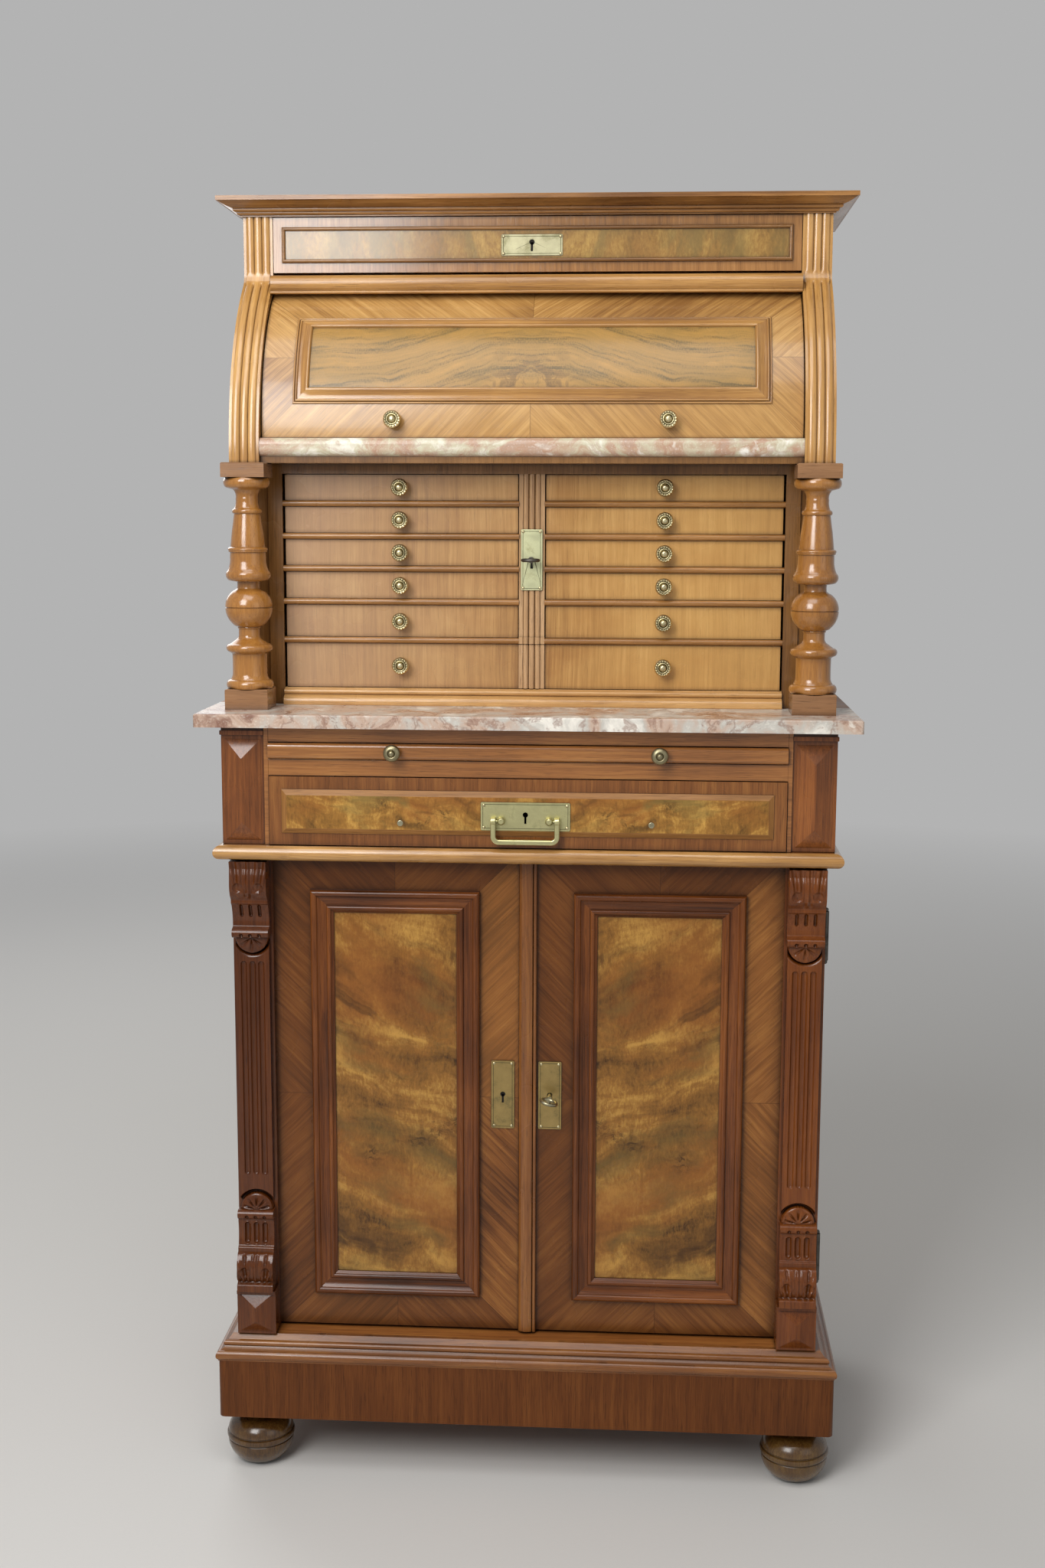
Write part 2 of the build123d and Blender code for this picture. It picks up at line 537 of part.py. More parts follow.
def door_boards(edge):
    return [board(stile_x, CASE_W, DOOR_FACE, DOOR_BACK, DOOR_BOTTOM, DOOR_TOP),
            board(edge, STILE_IN, DOOR_FACE, DOOR_BACK, DOOR_BOTTOM, DOOR_TOP),
            board(STILE_IN, stile_x, DOOR_FACE, DOOR_BACK, DOOR_BOTTOM, rail_low),
            board(STILE_IN, stile_x, DOOR_FACE, DOOR_BACK, rail_high, DOOR_TOP)]


mould_items = [(0, 0), (0, 5), (4.2, 9.5, 1), (8.6, 6.5), (13.5, 3.8, 1), (20, 3.2), (20, 4.2), (23, 6.2, 1),
               (26, 4), (MOULD_T, 1.6), (MOULD_T, 0)]
door_moulding = picture_frame(STILE_IN - MOULD_LAP - 1.4, stile_x + MOULD_LAP, rail_low - MOULD_LAP + 1.5,
                              rail_high + MOULD_LAP - 1, MOULD_T, mould_items, DOOR_FACE)
door_panel = board(STILE_IN, stile_x, DOOR_FACE, DOOR_BACK - PANEL_SETBACK, rail_low, rail_high)

# Pilaster on the outer stile: backing board, fluted shaft, corbel, carved foot and hipped block
pil_mid = CASE_W - PILASTER / 2
pil_in = CASE_W - PILASTER
half_pil = PILASTER / 2 - 4
shaft = board(pil_mid - half_pil, pil_mid + half_pil, PIL_BACK - 8, PIL_BACK, DOOR_BOTTOM + 196, DOOR_TOP - 121)
for x in (pil_mid - 11, pil_mid, pil_mid + 11):
    y = PIL_BACK - 9
    z0 = DOOR_BOTTOM + 208
    z1 = DOOR_TOP - 133
    shaft -= rod_z(x, y, z0, z1, 3.4) + Pos(x, y, z0) * Sphere(3.4) + Pos(x, y, z1) * Sphere(3.4)
corbel_items = [(0, -98), (-14, -98), (-20.5, -92, 1), (-14, -86), (-11, -84), (-12, -69, 1), (-18, -55),
                (-20, -54), (-20, -49), (-25, -43), (-29.5, -25, 1), (-24, -11), (-28, -8), (-28, 0), (0, 0)]
corbel = prism_x(moved(corbel_items, PIL_BACK, DOOR_TOP), pil_in + 2.5, CASE_W - 2)
disc_items = [(-20, 0), (0, -20.5, 1), (20, 0)]
corbel_disc = prism_y(moved(disc_items, pil_mid, DOOR_TOP - 98), PIL_BACK - 12, PIL_BACK)
carved_items = [(0, 56), (-29, 56), (-29, 65), (-24, 68), (-28.5, 84, 1), (-22, 104), (-18, 106), (-18, 111),
                (-15, 113), (-12.5, 128, 1), (-14, 145), (-14, 148), (-19.5, 154, 1), (-14, 160), (0, 160)]
carved = prism_x(moved(carved_items, PIL_BACK, DOOR_BOTTOM), pil_in + 2.5, CASE_W - 2)
disc_items = [(20, 0), (0, 20, 1), (-20, 0)]
foot_disc = prism_y(moved(disc_items, pil_mid, DOOR_BOTTOM + 160), PIL_BACK - 12, PIL_BACK)
foot_block = board(pil_in + 0.5, CASE_W - 0.5, PIL_BACK - 22, PIL_BACK, DOOR_BOTTOM - 1.6, DOOR_BOTTOM + 56)
foot_hip = hip(pil_in + 3, CASE_W - 3, DOOR_BOTTOM + 1, DOOR_BOTTOM + 54, PIL_BACK - 22, 8, 16)
pilaster = [board(pil_in, CASE_W, PIL_BACK, DOOR_FACE, DOOR_BOTTOM, DOOR_TOP)]
pilaster += [shaft, corbel, corbel_disc, foot_disc, carved, foot_block, foot_hip]

# Door locks: escutcheon plates, the lock case behind the right one, and the key in it
SHANK = 2.4
PLATE_T = 1.5
key_x = 29.5
key_z = (DOOR_BOTTOM + DOOR_TOP) / 2 + 6.5
shank_bore = SHANK + PIN_GAP
lock_back = DOOR_BACK + 12.4
plate = board(key_x - 14.3, key_x + 14.5, DOOR_FACE - PLATE_T, DOOR_FACE, key_z - 44.4, key_z + 43.3)
plate = chamfer(plate.edges().filter_by(Axis.Y), 1) - keyhole(key_x, key_z, DOOR_FACE - 10, DOOR_FACE + 5)
knuckles = [door_knuckle(z) for z in HINGE_Z]
right_boards = door_boards(MEET)
right_boards[1] = right_boards[1] - rod_y(key_x, DOOR_FACE - 3, DOOR_BACK + 3, key_z, shank_bore)
lock_case = board(key_x - 21.5, key_x + 22.5, DOOR_BACK, lock_back, key_z - 28, key_z + 28)
lock_case = lock_case - rod_y(key_x, DOOR_BACK - 5, lock_back - 5, key_z, shank_bore)
strip_items = [(0, 0), (0, -4), (3, -7), (10.5, -8.5, 1), (16.5, -7), (17.5, -5), (19.6, -7.6, 1), (21.6, -5),
               (21.6, 0)]
astragal = prism_z(moved(strip_items, MEET, DOOR_FACE), DOOR_BOTTOM, DOOR_TOP)
save("right_door_frame", right_boards)
save("right_door_panel", [door_panel])
save("right_door_moulding", door_moulding)
save("right_door_pilaster", pilaster)
save("right_door_fittings", [plate, lock_case] + knuckles)
save("right_door_astragal", [astragal])

left_boards = door_boards(-MEET + MEET_GAP)
save("left_door_frame", [flip(s) for s in left_boards])
save("left_door_panel", [flip(door_panel)])
save("left_door_moulding", [flip(s) for s in door_moulding])
save("left_door_pilaster", [flip(s) for s in pilaster])
save("left_door_fittings", [flip(plate)] + [flip(s) for s in knuckles])


def key(x, z, y_in, y_bow, tilt=0):
    """Key with its ring bow lying level, or tilted about the shank."""
    ring = Pos(x, y_bow - 8.6, z) * Rot(0, tilt, 0) * Torus(9.6, 2.1)
    shank = rod_y(x, y_bow + 2, y_in, z, SHANK) + rod_y(x, y_bow + 1, y_bow + 6, z, SHANK + 1.4)
    return [ring + shank]


save("door_key", key(key_x, key_z, lock_back - 6, DOOR_FACE - 21, 15))

# Wide lower drawer with a raised bevelled panel, lock plate and hanging bail
lower_drawer = drawer(-DRAWER_W, DRAWER_W, DRAWER_Z[0], DRAWER_Z[1], DRAWER_Y, 20, DRAWER_BACK, 12, 8, 10)
panel_w = DRAWER_W - 15.5
panel_z = (DRAWER_Z[0] + 14.8, DRAWER_Z[1] - 15.6)
y = DRAWER_Y
bevel_x = [(-panel_w, y), (-panel_w, y - 1), (11.5 - panel_w, y - 5), (panel_w - 11.5, y - 5),
           (panel_w, y - 1), (panel_w, y)]
bevel_z = [(y, panel_z[0]), (y - 1, panel_z[0]), (y - 5, panel_z[0] + 11), (y - 5, panel_z[1] - 11),
           (y - 1, panel_z[1]), (y, panel_z[1])]
bevel = prism_z(bevel_x, panel_z[0], panel_z[1]) & prism_x(bevel_z, -panel_w - 2, panel_w + 2)
save("lower_drawer", lower_drawer + [bevel])

BAIL_W = 39.2
BAIL_R = 2.9
BAIL_PIN = 1.6
BAIL_DROP = 26.0
BAIL_BEND = 11.0
plate_y = DRAWER_Y - 5
post_y = plate_y - 1.4
bail_y = post_y - 6
bail_z = DRAWER_Z[0] + 34.8
bail_low = bail_z - BAIL_DROP
post_x = BAIL_W - BAIL_R - 7.3
plate_x = BAIL_W + 14.8
back_plate = board(-plate_x, plate_x, post_y, plate_y, bail_z - 12.4, bail_z + 22)
back_plate = chamfer(back_plate.edges().filter_by(Axis.Y), 1)
back_plate = back_plate - keyhole(0, bail_z + 7, post_y - 5, plate_y + 4)
posts = []
for s in (-1, 1):
    post = turned_y([(0, 0), (3, 0), (3, -2), (5, -6, 1), (2.6, -10), (0, -10)], s * post_x, bail_z, post_y)
    posts.append(post - rod_x(s * post_x - 6, s * post_x + 6, bail_y, bail_z, BAIL_PIN + PIN_GAP))
save("drawer_handle_plate", [back_plate] + posts)
bend_x = BAIL_W - BAIL_BEND
bend_z = bail_low + BAIL_BEND
turn_x = bend_x + BAIL_BEND * cos(radians(45))
turn_z = bend_z - BAIL_BEND * sin(radians(45))
tip = bail_z + 2
bail_path = Wire([Edge.make_line((-BAIL_W, bail_y, tip), (-BAIL_W, bail_y, bend_z)),
                  Edge.make_three_point_arc((-BAIL_W, bail_y, bend_z), (-turn_x, bail_y, turn_z),
                                            (-bend_x, bail_y, bail_low)),
                  Edge.make_line((-bend_x, bail_y, bail_low), (bend_x, bail_y, bail_low)),
                  Edge.make_three_point_arc((bend_x, bail_y, bail_low), (turn_x, bail_y, turn_z),
                                            (BAIL_W, bail_y, bend_z)),
                  Edge.make_line((BAIL_W, bail_y, bend_z), (BAIL_W, bail_y, tip))])
bail = sweep(Plane(origin=bail_path @ 0, z_dir=bail_path % 0) * Circle(BAIL_R), path=bail_path)
pin_x = post_x - 3.1
bail = bail + rod_x(pin_x, BAIL_W, bail_y, bail_z, BAIL_PIN) + rod_x(-BAIL_W, -pin_x, bail_y, bail_z, BAIL_PIN)
save("drawer_bail", [bail])

# Pull-out slide with a bullnose front and two knobs
NOSE = 4.6
SLIDE_OUT = 4.6
slide_y = DRAWER_Y - SLIDE_OUT
n = NOSE * (1 - sin(radians(45)))
slide_items = [(slide_y + NOSE, SLIDE_Z[0]), (slide_y + n, SLIDE_Z[0] + n, 1), (slide_y, SLIDE_Z[0] + NOSE),
               (slide_y, SLIDE_Z[1] - NOSE), (slide_y + n, SLIDE_Z[1] - n, 1), (slide_y + NOSE, SLIDE_Z[1]),
               (DRAWER_BACK, SLIDE_Z[1]), (DRAWER_BACK, SLIDE_Z[0])]
save("writing_slide", [prism_x(slide_items, -DRAWER_W, DRAWER_W)])
button = [(0, 0), (7.5, 0), (7.5, -2), (5, -3.5), (5, -5.5), (10.4, -8), (9.5, -13, 1), (5.5, -15.4), (4, -16.4),
          (0, -17.2)]
save("slide_knobs", pair(turned_y(button, DRAWER_W / 2 + 4, (SLIDE_Z[0] + SLIDE_Z[1]) / 2, slide_y)))

# Small drawers, five rows of two, each with one knob
knob_x = (BANK_IN + BANK_W) / 2 + 0.65
for i, (z0, z1) in enumerate(reversed(ROWS)):
    solids = drawer(BANK_IN, BANK_W, z0 - EASE, z1 + EASE, BANK_Y, 14, BANK_BACK, 8, 4, 5)
    solids.append(knob(knob_x, (z0 + z1) / 2, BANK_Y))
    save("small_drawer_right_%d" % (i + 1), solids)
    save("small_drawer_left_%d" % (i + 1), [flip(s) for s in solids])

# Wide drawer under them, with the foot of the pilaster on its front
pil_face = [(16, -3.6), (11, -3.6), (11, -2), (7.4, -5, 1), (3.8, -2), (0, -5, 1), (-3.8, -2), (-7.4, -5, 1),
            (-11, -2), (-11, -3.6), (-16, -3.6)]
pil_face = [(p[0] * BANK_PIL / 16, BANK_Y + p[1]) + tuple(p[2:]) for p in pil_face]
stub_items = pil_face + [(-BANK_PIL, BANK_Y), (BANK_PIL, BANK_Y)]
wide = drawer(-BANK_W, BANK_W, WIDE_Z[0] - EASE, WIDE_Z[1] + EASE / 2, BANK_Y, 14, BANK_BACK, 8, 5, 6)
wide += [prism_z(stub_items, WIDE_Z[0], WIDE_Z[1])]
wide += [knob(s * knob_x, (WIDE_Z[0] + WIDE_Z[1]) / 2 + 0.5, BANK_Y) for s in (-1, 1)]
save("wide_drawer", wide)

# Central pilaster between the drawers, its lock plate and key
pil_items = pil_face + [(-BANK_PIL, BANK_Y + 2), (BANK_PIL, BANK_Y + 2)]
bank_key_z = (ROWS[0][0] + BANK_TOP) / 2 - 4
bank_pilaster = prism_z(pil_items, ROWS[0][0], BANK_TOP)
bank_pilaster = bank_pilaster - rod_y(0, BANK_Y - 10, BANK_Y + 4, bank_key_z, shank_bore)
save("bank_pilaster", [bank_pilaster])
lock_y = BANK_Y - 5
lock_plate = board(-BANK_PIL + 2.6, BANK_PIL - 2.6, lock_y - 1.4, lock_y, bank_key_z - 37.8, bank_key_z + 37.4)
lock_plate = chamfer(lock_plate.edges().filter_by(Axis.Y), 1) - keyhole(0, bank_key_z, lock_y - 10, lock_y + 10)
save("bank_lock_plate", [lock_plate])
save("bank_key", key(0, bank_key_z, BANK_Y + 1.6, BANK_Y - 22))


def roll_polar(r, a):
    return (ROLL_Y - r * cos(radians(a)), ROLL_Z + r * sin(radians(a)))


# Roll front: curved shell in four staves, a sector plate, collar and pivot pin at each end
roll_in = ROLL_R - ROLL_T
hub = 16.0
staves = 4
shell = []
for i in range(staves):
    a0 = ROLL_A[0] + (ROLL_A[1] - ROLL_A[0]) * i / staves
    a1 = ROLL_A[0] + (ROLL_A[1] - ROLL_A[0]) * (i + 1) / staves
    am = (a0 + a1) / 2
    stave = [roll_polar(ROLL_R, a0), roll_polar(ROLL_R, am) + (1,), roll_polar(ROLL_R, a1), roll_polar(roll_in, a1),
             roll_polar(roll_in, am) + (1,), roll_polar(roll_in, a0)]
    shell.append(prism_x(stave, -ROLL_W, ROLL_W))
sector_items = [roll_polar(roll_in, 12), roll_polar(roll_in, 29) + (1,), roll_polar(roll_in, 46)]
sector_items += [roll_polar(hub, a) for a in (125, 209, 293)]
shell += pair(prism_x(sector_items, roll_arm[0], roll_arm[1]))
collar_end = UPPER_IN - RUN_GAP
collar = rod_x(roll_arm[1], collar_end, ROLL_Y, ROLL_Z, hub - 5)
shell += pair(collar + rod_x(collar_end, pin_end, ROLL_Y, ROLL_Z, ROLL_PIN))
save("roll_front", shell)

# Moulded frame and veneered field on the roll front
FRAME_A = (9.9, 41.3)
FIELD_A = (15.2, 37.0)
RIM = 20.0
FRAME_W = ROLL_W - 37.8
FIELD_W = FRAME_W - RIM
FIELD_T = 1.4
rim = [(0.0, 0.0), (0.0, 2.4), (0.2, 4.0), (0.36, 3.6), (0.42, 2.2), (0.68, 1.6), (0.72, 2.6), (0.88, 2.6),
       (1.0, FIELD_T), (1.0, 0.0)]


def rim_bar(a_out, a_in):
    pts = [roll_polar(ROLL_R + h, a_out + (a_in - a_out) * s) for s, h in rim]
    pts.append(roll_polar(ROLL_R, (a_out + a_in) / 2) + (1,))
    return prism_x(pts, -FRAME_W, FRAME_W)


rim_face = outline([(FRAME_W - RIM * s, ROLL_R + h) for s, h in rim], lambda p: (p[0], ROLL_Y - p[1], ROLL_Z))
turn_axis = Axis((0, ROLL_Y, ROLL_Z), (-1, 0, 0))
rim_side = revolve(rim_face.rotate(turn_axis, FIELD_A[0]), turn_axis, FIELD_A[1] - FIELD_A[0])
field_mid = (FIELD_A[0] + FIELD_A[1]) / 2
field_r = ROLL_R + FIELD_T
field_items = [roll_polar(ROLL_R, FIELD_A[0]), roll_polar(ROLL_R, field_mid) + (1,), roll_polar(ROLL_R, FIELD_A[1])]
field_items += [roll_polar(field_r, FIELD_A[1]), roll_polar(field_r, field_mid) + (1,), roll_polar(field_r, FIELD_A[0])]
roll_trim = [rim_bar(FRAME_A[0], FIELD_A[0]), rim_bar(FRAME_A[1], FIELD_A[1])] + pair(rim_side)
save("roll_front_frame", roll_trim)
save("roll_front_field", [prism_x(field_items, -FIELD_W, FIELD_W)])
roll_knob = knob(ROLL_W / 2 + 2.35, ROLL_Z, ROLL_Y - ROLL_R).rotate(turn_axis, 4.5)
save("roll_front_knobs", pair(roll_knob))

# Frieze drawer over the roll front: a deep face on a shallow tray, beaded panel and lock plate
TRAY_W = ROLL_W - 18.3
TRAY_BACK = PANEL_Y - 35
WALL_T = 9.0
face_w = POST_IN - 0.8
face_top = UPPER_TOP - 2 * RUN_GAP
face_back = FACE_Y + FACE_T
tray_in = TRAY_W - WALL_T
tray_top = TRAY_Z + TRAY_H
frieze = [board(-face_w, face_w, FACE_Y, face_back, face_top - FACE_H, face_top)]
frieze += pair(board(tray_in, TRAY_W, face_back, TRAY_BACK, TRAY_Z, tray_top))
frieze += [board(-tray_in, tray_in, TRAY_BACK - WALL_T, TRAY_BACK, TRAY_Z, tray_top),
           board(-tray_in, tray_in, face_back, TRAY_BACK - WALL_T, TRAY_Z, TRAY_Z + DUST_T)]
bead_items = [(0, 0), (0, 1.6), (2.3, 3.6, 1), (4.6, 1.6), (4.6, 0)]
bead_w = POST_IN - 11.7
frieze += picture_frame(-bead_w, bead_w, face_top - 55, face_top - 11.6, 4.6, bead_items, FACE_Y)
save("frieze_drawer", frieze)
lock_x = -4.0
lock_z = face_top - 31.2
lock = board(lock_x - 38, lock_x + 38, FACE_Y - 1.4, FACE_Y, lock_z - 16.2, lock_z + 9.5)
lock = chamfer(lock.edges().filter_by(Axis.Y), 1) - keyhole(lock_x, lock_z, FACE_Y - 14, FACE_Y + 6)
save("frieze_drawer_lock_plate", [lock])
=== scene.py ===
"""Looks of a walnut dental cabinet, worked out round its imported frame.

Lengths in the tables are millimetres in the cabinet's own frame: X to the right, front towards -Y, Z up.
"""
import json
import math
from functools import partialmethod
from types import SimpleNamespace

import bmesh
import bpy
import numpy as np
from mathutils import Matrix, Vector

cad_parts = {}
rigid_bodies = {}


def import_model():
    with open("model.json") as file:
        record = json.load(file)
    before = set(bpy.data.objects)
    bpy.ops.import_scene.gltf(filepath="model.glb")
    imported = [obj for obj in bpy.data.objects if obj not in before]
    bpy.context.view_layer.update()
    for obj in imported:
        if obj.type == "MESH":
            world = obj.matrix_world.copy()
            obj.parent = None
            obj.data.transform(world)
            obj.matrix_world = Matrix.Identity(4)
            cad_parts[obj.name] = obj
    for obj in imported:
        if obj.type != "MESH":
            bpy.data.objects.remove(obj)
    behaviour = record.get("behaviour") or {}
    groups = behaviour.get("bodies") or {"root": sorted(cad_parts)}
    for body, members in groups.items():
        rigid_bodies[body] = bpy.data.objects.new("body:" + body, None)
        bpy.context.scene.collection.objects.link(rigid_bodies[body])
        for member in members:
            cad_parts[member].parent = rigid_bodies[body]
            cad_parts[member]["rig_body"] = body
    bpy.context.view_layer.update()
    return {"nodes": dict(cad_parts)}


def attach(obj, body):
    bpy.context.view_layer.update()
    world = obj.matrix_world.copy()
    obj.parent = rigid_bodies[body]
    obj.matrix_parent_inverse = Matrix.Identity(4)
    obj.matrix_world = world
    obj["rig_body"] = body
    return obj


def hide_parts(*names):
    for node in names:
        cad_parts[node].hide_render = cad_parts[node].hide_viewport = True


bl_info = {
    "name": "Walnut Dental Cabinet",
    "version": (1, 0, 0),
    "blender": (4, 5, 0),
    "location": "View3D > Sidebar > Cabinet",
    "description": "Carved, turned and veneered pieces round the frame of a dental cabinet",
    "category": "Object",
}

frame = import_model()
NODES = frame["nodes"]
BODY_OF = {node: obj["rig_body"] for node, obj in NODES.items()}
MM = 0.001
CABINET = "cabinet"
SIDES = (("right", 1), ("left", -1))

# Places that the frame fixes, in millimetres and degrees
DOOR_FACE = -167.0
DOOR_Z = (185.5, 796.5)
DOOR_MID = (164.3, 492.75)
DOOR_FIELD_HALF = (105.7, 263.75)
PILASTER_X = 316.0
FOOT_X = 345.0
FOOT_Y = (-167.0, 178.0)
COLUMN_AT = (345.5, -146.5)
COLUMN_Z = 1005.0
POST_X = (328.5, 365.0)
POST_TOP = 1583.5
POST_FACE = -49.0
POST_SWELL = (123.0, 1285.5, 280.0)
POST_HOLLOW = (-71.0, 1516.9, 22.0)
POST_SWEEP = 50.03
POST_FOOT = -1.23
POST_DEEP = 26.0
POST_SEAT = -18.0
BANK_FACE = -90.0
BANK_THICK = 14.0
BANK_PILASTER_HALF = 16.0
BANK_ROWS = (1250.95, 1210.95, 1170.7, 1130.05, 1085.45)
KNOB_X = 164.0
WIDE_KNOB_Z = 1030.0
LOW_BEAD_TOP = 1067.0
LOW_BEAD_LAP = (1057.9, 1066.4)
SLIDE_KNOB = (161.0, -203.6, 933.6)
ROLL_KNOB_X = 166.0
ROLL_KNOB_UP = 4.5
ROLL_AXIS = (76.0, 1313.5)
ROLL_R = 215.0
ROLL_ARC_MID = 25.6
ROLL_RIM_HALF = (289.5, 58.9)
ROLL_RIM_ARC = (9.9, 41.3)
DRAWER_FACE = -199.0
DRAWER_THICK = 20.0
DRAWER_PANEL_Z = 859.5
DRAWER_PANEL_HALF = (298.5, 27.0)
FRIEZE_FACE = -46.0
FRIEZE_THICK = 18.0
FRIEZE_PANEL = (312.4, 1532.1, 1566.7)
# Slack in tests of which side of a plane a corner is on
NEAR = 0.05


def srgb(r, g, b):
    """Linear colour of an eight-bit screen colour: a power of 2.4 with a straight foot."""
    c = np.array((r, g, b)) / 255.0
    lin = np.where(c <= 0.04045, c / 12.92, ((c + 0.055) / 1.055) ** 2.4)
    return tuple(float(v) for v in lin)


def tint(label, about, rgb):
    return bpy.props.FloatVectorProperty(name=label, description=about, subtype="COLOR", size=3, min=0.0,
                                         max=1.0, default=srgb(*rgb))


def length(label, about, mm):
    return bpy.props.FloatProperty(name=label, description=about, default=mm * MM, min=0.0, unit="LENGTH")


class CabinetSizes(bpy.types.PropertyGroup):
    """Sizes of the worked pieces."""
    edge: length("Edge softening", "Width of the rounding on the edges of boards", 0.7)
    reed: length("Reed depth", "Depth of the hollows between the reeds of the posts", 2.6)
    flute: length("Flute depth", "Depth of the three flutes of each pilaster", 2.8)
    leaf: length("Leaf relief", "Depth of the carving in the leaves", 2.6)
    pin: length("Pin radius", "Radius of the pins that hold the plates", 1.9)
    beads: bpy.props.IntProperty(name="Knob beads", description="Beads in the ring on a knob", default=16, min=6,
                                 max=40)
    turning: bpy.props.IntProperty(name="Turning steps", description="Steps round a turned piece", default=72,
                                   min=24, max=160)


class CabinetColours(bpy.types.PropertyGroup):
    """Light, middle and dark tones of the finishes."""
    honey_light: tint("Honey, light", "Pale streaks of the upper walnut", (222, 174, 106))
    honey: tint("Honey", "Upper walnut", (188, 139, 76))
    honey_dark: tint("Honey, dark", "Dark streaks of the upper walnut", (134, 88, 44))
    brown_light: tint("Brown, light", "Pale streaks of the lower walnut", (164, 110, 54))
    brown: tint("Brown", "Lower walnut", (130, 79, 36))
    brown_dark: tint("Brown, dark", "Dark streaks of the lower walnut", (80, 44, 18))
    red_light: tint("Red, light", "Pale streaks of the stained mouldings", (140, 70, 24))
    red: tint("Red", "Stained mouldings", (102, 47, 13))
    red_dark: tint("Red, dark", "Dark streaks of the stained mouldings", (54, 22, 5))
    burl_light: tint("Burl, light", "Pale clouds of the burl", (184, 138, 66))
    burl: tint("Burl", "Burl veneer", (144, 98, 41))
    burl_dark: tint("Burl, dark", "Dark flames of the burl", (58, 34, 12))
    olive: tint("Olive", "Shaded figure of the burl", (108, 86, 42))
    pine_light: tint("Pine, light", "Pale wood inside", (206, 168, 112))
    pine_dark: tint("Pine, dark", "Late wood inside", (150, 106, 60))
    brass: tint("Brass", "Aged plates", (197, 191, 142))
    bronze: tint("Bronze", "Knobs, worn pale", (202, 190, 150))
    iron: tint("Iron", "Hinges and keys", (96, 92, 86))
    rosso: tint("Marble, red", "Ground of the working top", (197, 169, 149))
    rosso_dark: tint("Marble, dark", "Veins of the working top", (142, 106, 90))
    cream: tint("Marble, cream", "Clouds in both marbles", (244, 238, 226))
    blush: tint("Marble, blush", "Ground of the upper shelf", (186, 148, 122))
    moss: tint("Marble, moss", "Grey-green in the upper shelf", (204, 196, 168))
    floor: tint("Floor", "Plain studio floor", (226, 224, 220))


def sizes():
    return bpy.context.scene.cabinet_sizes


def colours():
    """Every colour of the panel as a tuple."""
    group = bpy.context.scene.cabinet_colours
    return SimpleNamespace(**{key: tuple(getattr(group, key)) for key in CabinetColours.__annotations__})


def tones(name):
    """Dark, middle and light of one wood."""
    return [getattr(colours(), name + end) for end in ("_dark", "", "_light")]


def shade(rgb, k):
    """A colour times one number, or each of its values times its own."""
    return tuple(v * m for v, m in zip(rgb, k if isinstance(k, tuple) else (k, k, k)))


def blend(one, two, p=0.5, q=0.5):
    """p times one colour and q times another, added."""
    return tuple(p * a + q * b for a, b in zip(one, two))


def stain(wood, k):
    return [shade(tone, k) for tone in wood]


def blend_woods(one, two, p=0.5, q=0.5):
    return [blend(a, b, p, q) for a, b in zip(one, two)]


# Materials

